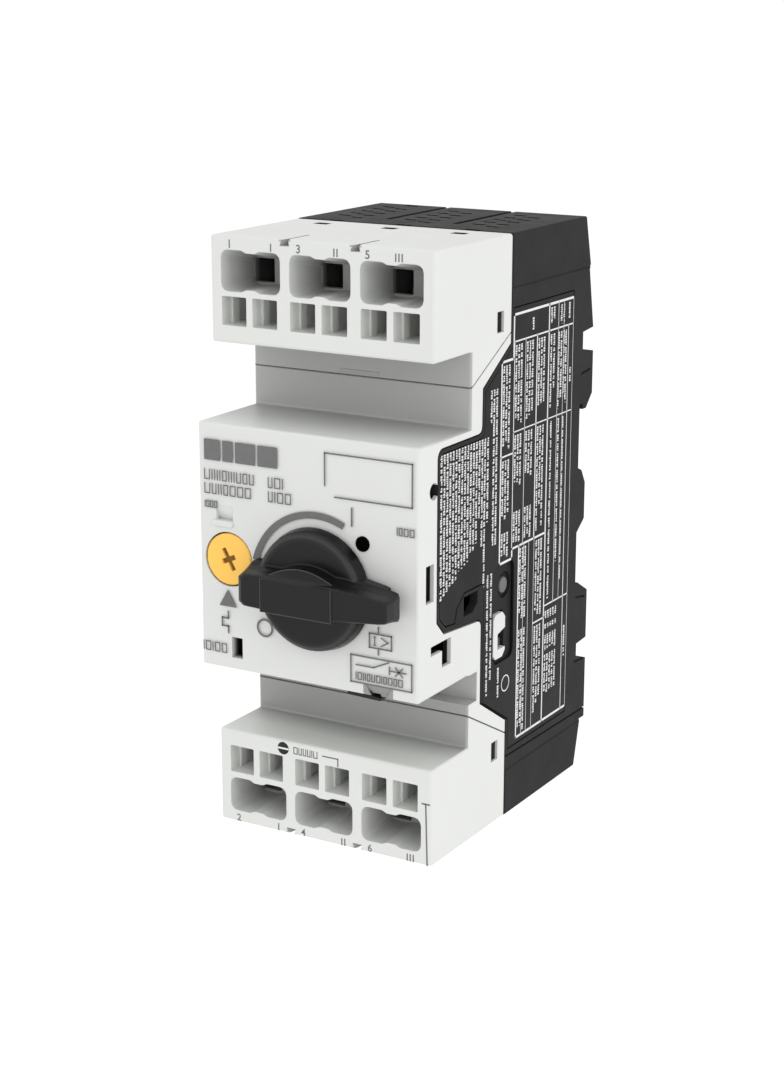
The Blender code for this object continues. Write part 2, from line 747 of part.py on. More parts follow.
def make_latch_spring(steel):
    bm = bmesh.new()
    add_coil(bm, "Z", (0, 2.5), 1.15, 0.25, 6, -38.5, -28.3)
    add_object("latch_spring", bm, steel, (0, 2.5, -38.5), smooth=True)


# ---------------------------------------------------------------- switch mechanism


def make_mechanism_frame(steel):
    """A folded U frame. The pivot pin of the switching lever is riveted into its sides."""
    bm = bmesh.new()
    add_box(bm, -9.0, 12.4, -35.2, -34.2, -15, 1)
    frame = add_object("mechanism_frame", bm, steel)
    side = [(-45.5, -13), (-34.3, -14.8), (-34.3, 10), (-37.0, 12), (-43.0, 12), (-45.5, 8)]
    bm = bmesh.new()
    for x in (-9.2, 11.6):
        add_prism(bm, side, "X", x, x + 1)
    join(frame, "sides", bm)
    bm = bmesh.new()
    add_turned(bm, "X", (LEVER_Y, LEVER_Z), [(-9.8, 1.0), (13.2, 1.0)], 16)
    add_box(bm, 12.0, 19.2, -35.1, -34.3, -7.0, -1.0)
    join(frame, "pivot_pin", bm)
    bm = bmesh.new()
    add_turned(bm, "Y", (LATCH_X, LATCH_Z), [(-34.6, 0.8), (-31.4, 0.8)], 14)
    join(frame, "latch_pin", bm)


def make_switching_lever(steel):
    crank_end = [(-42.4, 8.0), (-41.6, 1.2), (-39.6, 1.2), (-37.6, 8.0)]
    outline = crank_end + [(-33.9, 18.6), (-33.6, 23.6), (-35.0, 23.6)]
    bm = bmesh.new()
    add_prism(bm, outline, "X", 0.6, 3.8)
    lever = add_object("switching_lever", bm, steel, (0, LEVER_Y, LEVER_Z))
    bm = bmesh.new()
    add_turned(bm, "X", (LEVER_Y, LEVER_Z), [(-1, 1.3), (5, 1.3)], 16)
    cut(lever, "bore", bm)


def make_main_spring(steel):
    bm = bmesh.new()
    add_coil(bm, "X", (LEVER_Y, LEVER_Z), 1.75, 0.3, 7, -7.4, -0.6)
    add_object("main_spring", bm, steel, smooth=True)


def make_contact_carrier(plastic):
    """A yoke across the poles. Each leg carries a stirrup that holds a contact bridge."""
    bm = bmesh.new()
    add_box(bm, -19.8, 19.8, -33.1, -30.6, CARRIER_Z - 2.5, CARRIER_Z + 2.5)
    carrier = add_object("contact_carrier", bm, plastic, (0, -31.8, CARRIER_Z))
    bm = bmesh.new()
    for x in POLES:
        add_box(bm, x - 2.4, x + 2.4, -31.5, -17.2, CARRIER_Z - 2, CARRIER_Z + 2)
        for side in (-1, 1):
            arm = sorted((x + side * 2.9, x + side * 3.8))
            add_box(bm, *arm, -31.6, -9.0, CARRIER_Z - 1, CARRIER_Z + 1)
            hook = sorted((x + side * 1.9, x + side * 3.7))
            add_box(bm, *hook, -9.5, -8.8, CARRIER_Z - 0.9, CARRIER_Z + 0.9)
    join(carrier, "legs", bm)


def make_contact_bridge(number, x, copper):
    bm = bmesh.new()
    add_box(bm, x - 2.5, x + 2.5, BRIDGE_Y - 0.5, BRIDGE_Y + 0.5, 11.5, 31.5)
    bridge = add_object(f"contact_bridge_{number}", bm, copper)
    bm = bmesh.new()
    for z in (CONTACT_LOW_Z, CONTACT_HIGH_Z):
        add_turned(bm, "Y", (x, z), [(BRIDGE_Y, 1.6), (BRIDGE_Y + 1.5, 1.4)], 12)
    join(bridge, "contacts", bm)


def make_contact_spring(number, x, steel):
    bm = bmesh.new()
    add_coil(bm, "Y", (x, CARRIER_Z), 1.5, 0.25, 4, -16.9, BRIDGE_Y - 0.8)
    add_object(f"contact_spring_{number}", bm, steel, smooth=True)


def make_line_bar(number, x, copper):
    """From the line terminal over the arc chamber and down the back wall to the fixed contact."""
    bm = bmesh.new()
    path = [(-45.3, UPPER.bar_z), (CONTACT_PLANE, UPPER.bar_z), (CONTACT_PLANE, 27.2)]
    add_prism(bm, strip(path, 1.0), "X", x - 3.6, x + 3.6)
    bar = add_object(f"line_bar_{number}", bm, copper)
    bm = bmesh.new()
    add_turned(bm, "Y", (x, CONTACT_HIGH_Z), [(CONTACT_PLANE, 1.6), (CONTACT_PLANE - 1.1, 1.4)], 12)
    join(bar, "contact", bm)


def make_trip_coil(number, x, copper):
    """A strip winding round the striker, with its fixed contact on the plate at the back."""
    profile = [(-20.4, 4.6)]
    for turn in range(6):
        along = -20.1 + 2.65 * turn
        profile += [(along, 5.2), (along + 1.9, 5.2), (along + 2.1, 4.6), (along + 2.4, 4.6)]
    bm = bmesh.new()
    add_turned(bm, "Y", (x, -2.2), profile, 16)
    coil = add_object(f"trip_coil_{number}", bm, copper, smooth=True)
    bm = bmesh.new()
    add_box(bm, x - 3.4, x + 3.4, CONTACT_PLANE - 0.5, CONTACT_PLANE + 0.5, -4.0, 15.4)
    join(coil, "contact_plate", bm)
    bm = bmesh.new()
    add_turned(bm, "Y", (x, CONTACT_LOW_Z), [(CONTACT_PLANE, 1.6), (CONTACT_PLANE - 1.1, 1.4)], 12)
    join(coil, "contact", bm)
    bm = bmesh.new()
    add_turned(bm, "Y", (x, -2.2), [(-22, 2.2), (-9, 2.2)], 14)
    cut(coil, "bore", bm)


def make_striker(number, x, steel):
    bm = bmesh.new()
    add_turned(bm, "Y", (x, -2.2), [(-24.6, 3.0), (-23.4, 3.0), (-23.3, 1.85), (-12, 1.85)], 14)
    add_object(f"striker_{number}", bm, steel, (x, -24.0, -2.2), smooth=True)


def make_bimetal(number, x, metal):
    bm = bmesh.new()
    add_box(bm, x - 0.5, x + 0.5, -24.6, -20.6, BIMETAL_FOOT, TRIP_Z + 1.8)
    add_object(f"bimetal_{number}", bm, metal, (x, -22.6, BIMETAL_FOOT))


def make_load_bar(number, x, copper):
    """From the foot of the bimetal down and forward to the load terminal."""
    bm = bmesh.new()
    path = [(-45.3, LOWER.bar_z), (-24.1, LOWER.bar_z), (-24.1, BIMETAL_FOOT - 0.4)]
    add_prism(bm, strip(path, 1.0), "X", x - 3.6, x + 3.6)
    bar = add_object(f"load_bar_{number}", bm, copper)
    bm = bmesh.new()
    add_box(bm, x - 2.2, x + 2.2, -24.3, -20.4, BIMETAL_FOOT - 1.9, BIMETAL_FOOT - 0.4)
    join(bar, "bimetal_foot", bm)


def make_trip_slide(plastic):
    """A slide in the notches of the pole walls, with a finger beside each bimetal."""
    bm = bmesh.new()
    add_box(bm, -19.6, 17.2, -28.4, -26.6, TRIP_Z - 1.6, TRIP_Z + 1.6)
    slide = add_object("trip_slide", bm, plastic, (0, -27.5, TRIP_Z))
    bm = bmesh.new()
    for x in POLES:
        add_box(bm, x + 0.9, x + 2.1, -27.5, -20.8, TRIP_Z - 1.2, TRIP_Z + 1.2)
    add_box(bm, 14.2, 15.3, -33.9, -27.5, TRIP_Z - 1.2, TRIP_Z + 0.6)
    join(slide, "fingers", bm)


def make_latch_lever(steel):
    outline = [(15.8, -12.6), (17.8, -12.6), (18.6, -4.0), (17.4, 4.4), (15.6, 4.4), (15.0, -4.0)]
    bm = bmesh.new()
    add_prism(bm, outline, "Y", -33.8, -32.0)
    lever = add_object("latch_lever", bm, steel, (LATCH_X, -32.9, LATCH_Z))
    bm = bmesh.new()
    add_turned(bm, "Y", (LATCH_X, LATCH_Z), [(-35, 0.9), (-30, 0.9)], 14)
    cut(lever, "bore", bm)


def make_position_lever(dark):
    bm = bmesh.new()
    add_box(bm, 14.0, 21.6, -32.0, -30.1, -22.1, -20.6)
    add_object("position_lever", bm, dark, (17.8, -31.0, -21.4))


def make_arc_chute(prefix, number, x, low_z, high_z, steel):
    """Splitter plates held in a backing, open towards the contact."""
    bm = bmesh.new()
    add_box(bm, x - 5.3, x + 5.3, -20.0, -6.2, low_z, high_z)
    chute = add_object(f"{prefix}_arc_chute_{number}", bm, steel)
    bm = bmesh.new()
    slots = 4
    pitch = 10.6 / slots
    for i in range(slots):
        centre = x - 5.3 + pitch * (i + 0.5)
        add_box(bm, centre - 0.8, centre + 0.8, -18.6, -5, low_z - 1, high_z + 1)
    cut(chute, "slots", bm)


def make_clamp_leaf(t, number, side, x, steel):
    """The leaf that presses one wire on the current bar. It turns about the bend at its foot."""
    tip = t.tip_z
    path = [
        (-44.4, t.pivot_z - t.sign * 0.9),
        (-45.0, t.pivot_z),
        (-44.3, t.pivot_z + t.sign * 0.9),
        (-40.2, t.pivot_z + t.sign * 3.6),
        (-38.6, tip - t.sign * 0.3),
    ]
    bm = bmesh.new()
    add_prism(bm, strip(path, 0.5), "X", x - 2.0, x + 2.0)
    add_object(f"{t.prefix}_clamp_leaf_{number}_{side}", bm, steel, (x, -44.4, t.pivot_z))


def build():
    clear_scene()
    pale = make_material("pale_cover_plastic", (0.80, 0.81, 0.79), 0.42)
    black = make_material("black_housing_plastic", (0.045, 0.045, 0.045), 0.5)
    label = make_material("label_black", (0.03, 0.03, 0.03), 0.45)
    dark = make_material("dark_control_plastic", (0.025, 0.025, 0.025), 0.35)
    yellow = make_material("yellow_dial_plastic", (1.0, 0.56, 0.1), 0.4)
    inner = make_material("inner_plastic", (0.35, 0.33, 0.3), 0.5)
    steel = make_material("spring_steel", (0.6, 0.6, 0.6), 0.3, 1.0)
    copper = make_material("contact_copper", (0.75, 0.4, 0.25), 0.3, 1.0)
    bimetal = make_material("bimetal_strip", (0.6, 0.5, 0.35), 0.35, 1.0)

    make_base_housing(black)
    make_rear_cover("upper", 1, REAR_SPLIT_TOP + GAP, 53.5, black)
    make_rear_cover("lower", -1, REAR_SPLIT_BOTTOM - GAP, -56.0, black)
    make_front_cover(pale)
    for terminal in (UPPER, LOWER):
        make_terminal_cover(terminal, pale)
    make_rating_label(label)
    make_auxiliary_guide(pale)

    make_rotary_knob(dark)
    make_knob_shaft(steel)
    make_current_dial(yellow)
    make_test_slide(dark)
    make_din_rail_latch(dark)
    make_latch_spring(steel)

    make_mechanism_frame(steel)
    make_switching_lever(steel)
    make_main_spring(steel)
    make_contact_carrier(inner)
    make_trip_slide(inner)
    make_latch_lever(steel)
    make_position_lever(dark)

    for number, x in enumerate(POLES, 1):
        make_contact_bridge(number, x, copper)
        make_contact_spring(number, x, steel)
        make_line_bar(number, x, copper)
        make_trip_coil(number, x, copper)
        make_striker(number, x, steel)
        make_bimetal(number, x, bimetal)
        make_load_bar(number, x, copper)
        make_arc_chute("upper", number, x, 33.2, 41.6, steel)
        make_arc_chute("lower", number, x, 4.4, 10.6, steel)
        for terminal in (UPPER, LOWER):
            for side, offset in zip(("left", "right"), ENTRY_X):
                make_clamp_leaf(terminal, number, side, x + offset, steel)


build()
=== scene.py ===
"""Looks for the motor protection breaker: materials, printing, small moulded details, light and camera."""

import json
import math
import random

import bmesh
import bpy
from mathutils import Matrix, Vector


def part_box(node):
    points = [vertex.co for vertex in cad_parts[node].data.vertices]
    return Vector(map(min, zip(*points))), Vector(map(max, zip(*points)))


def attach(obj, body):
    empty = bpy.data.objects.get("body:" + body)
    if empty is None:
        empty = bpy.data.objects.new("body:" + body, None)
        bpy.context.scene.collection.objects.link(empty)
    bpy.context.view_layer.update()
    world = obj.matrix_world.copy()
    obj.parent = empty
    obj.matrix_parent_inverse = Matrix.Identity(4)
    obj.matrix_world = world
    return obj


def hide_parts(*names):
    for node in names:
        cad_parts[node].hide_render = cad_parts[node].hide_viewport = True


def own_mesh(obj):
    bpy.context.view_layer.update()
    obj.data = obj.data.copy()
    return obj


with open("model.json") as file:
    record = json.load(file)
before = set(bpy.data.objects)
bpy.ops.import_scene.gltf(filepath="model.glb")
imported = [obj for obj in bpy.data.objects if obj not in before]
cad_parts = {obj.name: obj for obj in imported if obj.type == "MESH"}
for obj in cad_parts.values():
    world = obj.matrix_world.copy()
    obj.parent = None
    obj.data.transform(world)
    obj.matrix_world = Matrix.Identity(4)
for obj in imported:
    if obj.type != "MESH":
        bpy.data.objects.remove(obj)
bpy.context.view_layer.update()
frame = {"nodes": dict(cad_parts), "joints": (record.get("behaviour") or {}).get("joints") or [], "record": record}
nodes = frame["nodes"]
MM = 0.001

# Camera: its place in the row frame in millimetres, its angles in degrees, its lens and sensor
CAMERA = (193.14, -363.68, 98.99)
AZIMUTH, ELEVATION, ROLL = 30.248, 14.922, 0.109
LENS, SENSOR = 72.09, 36.0

# ---------------------------------------------------------------- places read from the frame


def lo(node):
    return [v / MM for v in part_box(node)[0]]


def hi(node):
    return [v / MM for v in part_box(node)[1]]


def pivot(name):
    """The point that a hinge turns about, in millimetres."""
    for joint in frame["joints"]:
        if joint["name"] == name:
            return [v / MM for v in joint["pos_m"]]


HALF_WIDTH = hi("front_cover")[0]
FRONT = lo("front_cover")[1]
SPLIT = hi("front_cover")[1]
LABEL_X = hi("rating_label")[0]
KNOB_X, _, KNOB_Z = pivot("knob_turn")
DIAL_X, _, DIAL_Z = pivot("dial_turn")
# Raised face of the front cover, and the set-back wall above and below it
COVER_TOP, COVER_BOTTOM = 21.1, -24.0
WAIST = -43.9

POLE_CENTRES = [(lo(f"contact_bridge_{i}")[0] + hi(f"contact_bridge_{i}")[0]) / 2 for i in (1, 2, 3)]
POLE_MARKS = (-7.1, 7.1)

# Terminal blocks: front face, face towards the middle and outer face
UPPER_FRONT, UPPER_INNER, UPPER_OUTER = lo("upper_terminal_cover")[1], 34.5, hi("upper_terminal_cover")[2]
LOWER_FRONT, LOWER_INNER, LOWER_OUTER = lo("lower_terminal_cover")[1], -37.8, lo("lower_terminal_cover")[2]

# Release shafts of a terminal block: heights, places beside the pole's centre, half of the opening
UPPER_SHAFT_Z, LOWER_SHAFT_Z = 40.2, -43.5
SHAFT_OFFSETS = (-3.5, 2.9)
SHAFT_HALF = 2.55

# Seams between the front cover and the terminal blocks: height at the waist and at the rear edge
UPPER_SEAM = (28.25, 35.95)
LOWER_SEAM = (-31.65, -39.35)

# ---------------------------------------------------------------- materials


def shade(colour, factor):
    return tuple(min(1.0, c * factor) for c in colour)


def grey(level):
    return (level, level, level)


class Graph:
    """A small helper that adds nodes to one material."""

    def __init__(self, name):
        self.material = bpy.data.materials.new(name)
        self.material.use_nodes = True
        self.tree = self.material.node_tree
        self.shader = self.tree.nodes["Principled BSDF"]
        self.place = self.add("ShaderNodeTexCoord").outputs["Object"]

    def add(self, kind, **values):
        node = self.tree.nodes.new(kind)
        for key, value in values.items():
            setattr(node, key, value)
        return node

    def link(self, a, b):
        self.tree.links.new(a, b)

    def noise(self, scale, detail=4.0, roughness=0.55, stretch=None):
        node = self.add("ShaderNodeTexNoise")
        node.inputs["Scale"].default_value = scale
        node.inputs["Detail"].default_value = detail
        node.inputs["Roughness"].default_value = roughness
        source = self.place
        if stretch:
            mapping = self.add("ShaderNodeMapping")
            mapping.inputs["Scale"].default_value = stretch
            self.link(self.place, mapping.inputs["Vector"])
            source = mapping.outputs["Vector"]
        self.link(source, node.inputs["Vector"])
        return node.outputs["Fac"]

    def remap(self, value, low, high, to_low, to_high):
        node = self.add("ShaderNodeMapRange")
        node.inputs["From Min"].default_value = low
        node.inputs["From Max"].default_value = high
        node.inputs["To Min"].default_value = to_low
        node.inputs["To Max"].default_value = to_high
        self.link(value, node.inputs["Value"])
        return node.outputs["Result"]

    def ramp(self, value, stops):
        node = self.add("ShaderNodeValToRGB")
        ramp = node.color_ramp
        ramp.elements[0].position, ramp.elements[1].position = stops[0][0], stops[-1][0]
        ramp.elements[0].color = (*stops[0][1], 1)
        ramp.elements[1].color = (*stops[-1][1], 1)
        for position, colour in stops[1:-1]:
            ramp.elements.new(position).color = (*colour, 1)
        self.link(value, node.inputs["Fac"])
        return node.outputs["Color"]

    def math(self, operation, a, b):
        node = self.add("ShaderNodeMath", operation=operation)
        for socket, value in zip(node.inputs, (a, b)):
            if isinstance(value, (int, float)):
                socket.default_value = value
            else:
                self.link(value, socket)
        return node.outputs[0]

    def multiply(self, base, tint, factor):
        node = self.add("ShaderNodeMix", data_type="RGBA", blend_type="MULTIPLY")
        if isinstance(factor, float):
            node.inputs[0].default_value = factor
        else:
            self.link(factor, node.inputs[0])
        self.link(base, node.inputs[6])
        self.link(tint, node.inputs[7])
        return node.outputs[2]

    def axes(self):
        node = self.add("ShaderNodeSeparateXYZ")
        self.link(self.place, node.inputs[0])
        return node.outputs

    def shades(self, value, steps):
        """A grey that follows a length through a list of (millimetres, level)."""
        first, last = steps[0][0], steps[-1][0]
        stops = [((at - first) / (last - first), grey(level)) for at, level in steps]
        return self.ramp(self.remap(value, first * MM, last * MM, 0, 1), stops)

    def rim_highlight(self, centre_x, centre_z, low_y, steps):
        """A painted highlight: a grey by distance from an axis along Y, behind low_y, and its first level in front
        of it.
        """
        x, y, z = self.axes()
        across = self.math("POWER", self.math("SUBTRACT", x, centre_x * MM), 2.0)
        upward = self.math("POWER", self.math("SUBTRACT", z, centre_z * MM), 2.0)
        radius = self.math("SQRT", self.math("ADD", across, upward), 0.0)
        mix = self.add("ShaderNodeMix", data_type="RGBA")
        self.link(self.math("GREATER_THAN", y, low_y * MM), mix.inputs[0])
        mix.inputs[6].default_value = (*grey(steps[0][1]), 1)
        self.link(self.shades(radius, steps), mix.inputs[7])
        return mix.outputs[2]

    def inside(self, low, high):
        """1 inside a box given in millimetres, 0 outside it."""
        within = None
        for axis, a, b in zip(self.axes(), low, high):
            above = self.math("GREATER_THAN", axis, a * MM)
            below = self.math("LESS_THAN", axis, b * MM)
            both = self.math("MULTIPLY", above, below)
            within = both if within is None else self.math("MULTIPLY", within, both)
        return within

    def bump(self, value, strength, distance, under=None):
        node = self.add("ShaderNodeBump")
        node.inputs["Strength"].default_value = strength
        node.inputs["Distance"].default_value = distance
        self.link(value, node.inputs["Height"])
        if under is not None:
            self.link(under, node.inputs["Normal"])
        return node.outputs["Normal"]

    def rounded(self, radius):
        node = self.add("ShaderNodeBevel", samples=4)
        node.inputs["Radius"].default_value = radius
        return node.outputs["Normal"]


def moulded(
    name,
    colour,
    roughness,
    grain=2600,
    depth=0.012,
    spread=0.05,
    edge=0.2,
    specular=0.5,
    hollows=(),
    rim=None,
):
    """Moulded plastic: fine eroded grain, slow waves from the mould and slightly uneven gloss.

    Depth is the height of the grain and edge the rounding of the edges, in millimetres. Each hollow
    is a box (low corner, high corner) with a list of (y, shade): painted shade that darkens the walls
    inside the box with depth, standing in for the unlit inside of a housing. A rim is a painted
    highlight: (centre x, centre z, y where it starts, shades), with a list of (radius, shade) for the
    surface behind that y.
    """
    g = Graph(name)
    broad = g.noise(38, 3)
    fine = g.noise(grain, 2, 0.6)
    base = g.ramp(broad, [(0.3, shade(colour, 1 - spread)), (0.7, shade(colour, 1 + spread))])
    # Painted shade: each hollow darkens the colour inside its box with depth
    for low, high, shades in hollows:
        base = g.multiply(base, g.shades(g.axes()["Y"], shades), g.inside(low, high))
    # Painted highlight: the rim's lighter band by distance from its axis
    if rim:
        base = g.multiply(base, g.rim_highlight(*rim), 1.0)
    g.link(base, g.shader.inputs["Base Color"])
    gloss = g.remap(g.noise(160, 5), 0.3, 0.7, roughness - 0.05, roughness + 0.06)
    g.link(gloss, g.shader.inputs["Roughness"])
    under = g.rounded(edge * MM) if edge else None
    waves = g.bump(broad, 0.12, 0.3 * MM, under)
    g.link(g.bump(fine, 0.35, depth * MM, waves), g.shader.inputs["Normal"])
    g.shader.inputs["Specular IOR Level"].default_value = specular
    return g.material


def printed(name, colour, roughness=0.5, specular=0.2):
    """Pad-printed ink: nearly flat, with slightly uneven cover."""
    g = Graph(name)
    cover = g.noise(900, 4, 0.6)
    base = g.ramp(cover, [(0.3, shade(colour, 0.93)), (0.7, shade(colour, 1.05))])
    g.link(base, g.shader.inputs["Base Color"])
    g.link(g.remap(cover, 0.3, 0.7, roughness - 0.05, roughness + 0.05), g.shader.inputs["Roughness"])
    g.link(g.bump(cover, 0.1, 0.01 * MM), g.shader.inputs["Normal"])
    g.shader.inputs["Specular IOR Level"].default_value = specular
    return g.material


def metal(name, colour, roughness, stretch, spread=0.08):
    """Rolled or stamped metal: stretched streaks in colour, gloss and bump."""
    g = Graph(name)
    streaks = g.noise(1400, 3, 0.6, stretch)
    blotches = g.noise(260, 4)
    base = g.ramp(blotches, [(0.3, shade(colour, 1 - spread)), (0.7, shade(colour, 1 + spread))])
    g.link(base, g.shader.inputs["Base Color"])
    g.link(g.remap(streaks, 0.3, 0.7, roughness - 0.08, roughness + 0.1), g.shader.inputs["Roughness"])
    g.link(g.bump(streaks, 0.25, 0.01 * MM), g.shader.inputs["Normal"])
    g.shader.inputs["Metallic"].default_value = 1.0
    return g.material


def block_painted_shade(front, inner, outer):
    """Painted shade in the funnels, shafts and cavity of a terminal block, darker with depth."""
    low_z, high_z = sorted((inner + math.copysign(1.4, outer), outer - math.copysign(0.5, outer)))
    reach = HALF_WIDTH - 0.5
    levels = ((0.1, 1.0), (5.0, 1.0), (9.7, 0.9), (10.4, 0.35), (12.5, 0.1))
    shades = [(front + inwards, level) for inwards, level in levels]
    return (-reach, front + 0.1, low_z), (reach, SPLIT + 0.2, high_z), shades


def funnel_painted_shade(front, low_z, high_z):
    """Painted shade in the funnels of a terminal block, which get darker than its shafts."""
    reach = HALF_WIDTH - 0.5
    shades = [(front + inwards, level) for inwards, level in ((0.1, 0.92), (3.0, 0.78), (9.7, 0.68))]
    return (-reach, front + 0.1, low_z), (reach, front + 9.9, high_z), shades


def mark_painted_shades(front, outer):
    """Painted shade in the grooves and notches that mark the poles on the outer edge of a terminal block."""
    groove, notch = (0.27, 15.0, 0.72, 0.25), (1.2, 2.0, 1.12, 0.55)
    hollows = []
    for x in POLE_MARKS:
        for half, length, depth, level in (groove, notch):
            low_z, high_z = sorted((outer - math.copysign(depth, outer), outer - math.copysign(0.05, outer)))
            low, high = (x - half, front + 0.05, low_z), (x + half, front + length, high_z)
            hollows.append((low, high, [(front, level), (front + length, level)]))
    return hollows


def window_painted_shade(outer):
    """Near-black painted shade on the walls of the three windows in the outer face of a terminal block, which look
    into the dark.
    """
    low_z, high_z = sorted((outer - math.copysign(0.8, outer), outer - math.copysign(0.06, outer)))
    return (-16.0, -34.9, low_z), (16.0, -32.0, high_z), [(-34.9, 0.02), (-32.0, 0.02)]


def vent_painted_shade(outer):
    """Near-black painted shade inside the vents of a rear cover."""
    low_z, high_z = sorted((outer - math.copysign(3.0, outer), outer - math.copysign(0.15, outer)))
    return (0.3 - HALF_WIDTH, SPLIT + 0.6, low_z), (HALF_WIDTH - 0.3, 1.0, high_z), [(-29, 0.02), (1, 0.02)]


PALE_COLOUR = (0.685, 0.695, 0.672)
# Painted shade on the steps between the front cover and the terminal blocks, darker towards the set-back wall
UPPER_WAIST_SHADE = (
    (0.05 - HALF_WIDTH, FRONT + 0.3, COVER_TOP - 0.3),
    (HALF_WIDTH - 0.05, SPLIT, UPPER_INNER + 0.05),
    [
        (FRONT + 0.3, 1.0),
        (FRONT + 6.0, 0.84),
        (WAIST - 1.5, 0.52),
        (WAIST - 0.3, 0.52),
        (WAIST + 0.5, 0.72),
    ],
)
LOWER_WAIST_SHADE = (
    (0.05 - HALF_WIDTH, LOWER_FRONT + 0.3, LOWER_INNER - 0.05),
    (HALF_WIDTH - 0.05, SPLIT, COVER_BOTTOM - 0.02),
    [
        (LOWER_FRONT + 0.3, 1.0),
        (LOWER_FRONT + 6.0, 0.9),
        (WAIST - 1.5, 0.57),
        (WAIST - 0.3, 0.44),
        (WAIST + 0.5, 0.6),
    ],
)
# Painted shade on the outer face of the upper terminal block, a little darker than its front
UPPER_TOP_SHADE = (
    (-HALF_WIDTH - 0.1, UPPER_FRONT + 0.2, UPPER_OUTER - 0.04),
    (HALF_WIDTH + 0.1, SPLIT + 0.5, UPPER_OUTER + 0.2),
    [(UPPER_FRONT + 0.2, 1.0), (UPPER_FRONT + 1.0, 0.91), (SPLIT, 0.89)],
)
# Painted shade inside the front cover behind its slots, and in the ramp in its lower edge
COVER_SHADE = (
    (0.75 - HALF_WIDTH, FRONT + 0.5, COVER_BOTTOM + 0.4),
    (HALF_WIDTH - 0.75, SPLIT, COVER_TOP - 0.4),
    [(FRONT + 0.5, 1.0), (FRONT + 1.0, 0.85), (FRONT + 1.7, 0.25), (FRONT + 2.3, 0.02)],
)
RAMP_SHADE = (
    (11.5, FRONT + 0.03, COVER_BOTTOM - 1),
    (17.5, FRONT + 2, COVER_BOTTOM + 1.95),
    [(FRONT, 0.42), (FRONT + 2, 0.3)],
)
UPPER_FUNNEL_HEIGHTS = (43.4, 51.2)
LOWER_FUNNEL_HEIGHTS = (-54.0, -46.9)


def pale(name, hollows=()):
    return moulded(name, PALE_COLOUR, 0.44, depth=0.010, spread=0.012, edge=0.12, hollows=hollows)


def black(name, hollows=()):
    colour = (0.0225, 0.0225, 0.023)
    return moulded(name, colour, 0.6, 2200, depth=0.02, spread=0.10, specular=0.08, hollows=hollows)


PALE = pale("pale_moulded_plastic")
# Copies of the pale plastic that differ only in painted shade: in the front cover's waist and slots, and in the
# terminal blocks' funnels, shafts, windows, marks and top
PALE_FRONT = pale("pale_front_plastic_painted_shade", [COVER_SHADE, RAMP_SHADE, UPPER_WAIST_SHADE, LOWER_WAIST_SHADE])
PALE_UPPER = pale(
    "pale_upper_plastic_painted_shade",
    [block_painted_shade(UPPER_FRONT, UPPER_INNER, UPPER_OUTER), window_painted_shade(UPPER_OUTER), UPPER_WAIST_SHADE, UPPER_TOP_SHADE]
    + [funnel_painted_shade(UPPER_FRONT, *UPPER_FUNNEL_HEIGHTS)]
    + mark_painted_shades(UPPER_FRONT, UPPER_OUTER),
)
PALE_LOWER = pale(
    "pale_lower_plastic_painted_shade",
    [block_painted_shade(LOWER_FRONT, LOWER_INNER, LOWER_OUTER), window_painted_shade(LOWER_OUTER), LOWER_WAIST_SHADE]
    + [funnel_painted_shade(LOWER_FRONT, *LOWER_FUNNEL_HEIGHTS)]
    + mark_painted_shades(LOWER_FRONT, LOWER_OUTER),
)
GREY_PIN = moulded("grey_pin_plastic", (0.11, 0.11, 0.112), 0.45)
# Painted shade: a darkened pale for the lips in the gaps of the seams
SEAM = moulded("seam_painted_shade", shade(PALE_COLOUR, 0.2), 0.6)
BLACK = black("black_moulded_plastic")
# The black plastic with painted shade inside the rear covers' vents
BLACK_CAPS = black(
    "black_cap_plastic_painted_shade", [vent_painted_shade(hi("upper_rear_cover")[2]), vent_painted_shade(lo("lower_rear_cover")[2])]
)
LABEL = moulded("label_film", grey(0.0145), 0.5, 3200, depth=0.004, spread=0.06, edge=0, specular=0.09)
DARK = moulded(
    "dark_control_plastic", (0.0065, 0.0065, 0.007), 0.34, 2400, depth=0.006, spread=0.10, specular=0.38
)
# Painted highlight on the knob's disc as (radius, share of the colour): a lighter band on its rounded rim
RIM_HIGHLIGHT = [(8.9, 0.055), (9.6, 0.16), (9.95, 0.42), (10.25, 0.3), (10.6, 0.07), (11.2, 0.04)]
# The knob's bar stands in front of this plane and its disc behind it
KNOB_STEP = -65.6
# The knob's colour times the painted rim highlight; the bar in front of KNOB_STEP takes the first level
KNOB = moulded(
    "knob_plastic",
    (0.09, 0.09, 0.093),
    0.32,
    2400,
    depth=0.006,
    spread=0.06,
    edge=0,
    specular=0.28,
    rim=(KNOB_X, KNOB_Z, KNOB_STEP, RIM_HIGHLIGHT),
)
# Painted highlight: a lighter grey for the beads along the thumb rest's edges
KNOB_HIGHLIGHT = moulded("knob_edge_painted_highlight", (0.055, 0.055, 0.057), 0.3, 2400, depth=0.004, spread=0.06, edge=0)
YELLOW = moulded(
    "yellow_dial_plastic", (0.98, 0.58, 0.115), 0.42, depth=0.01, spread=0.02, edge=0.12, specular=0.25
)
INNER = moulded("inner_plastic", (0.30, 0.28, 0.25), 0.5, 2000, depth=0.015, spread=0.06)
STEEL = metal("zinc_plated_steel", (0.50, 0.50, 0.51), 0.34, (1, 1, 0.08))
COPPER = metal("stamped_copper_alloy", (0.70, 0.44, 0.30), 0.32, (1, 0.08, 1))
BIMETAL = metal("rolled_bimetal", (0.60, 0.52, 0.40), 0.36, (0.1, 1, 1))
INK_GREY = printed("grey_print", (0.155, 0.158, 0.155))
INK_WHITE = printed("white_print", grey(0.74))
# Dark ink for print, also used as painted shade in the front cover's catch and around the vents
DARK_PRINT_AND_SHADE = printed("dark_print_and_painted_shade", grey(0.02))
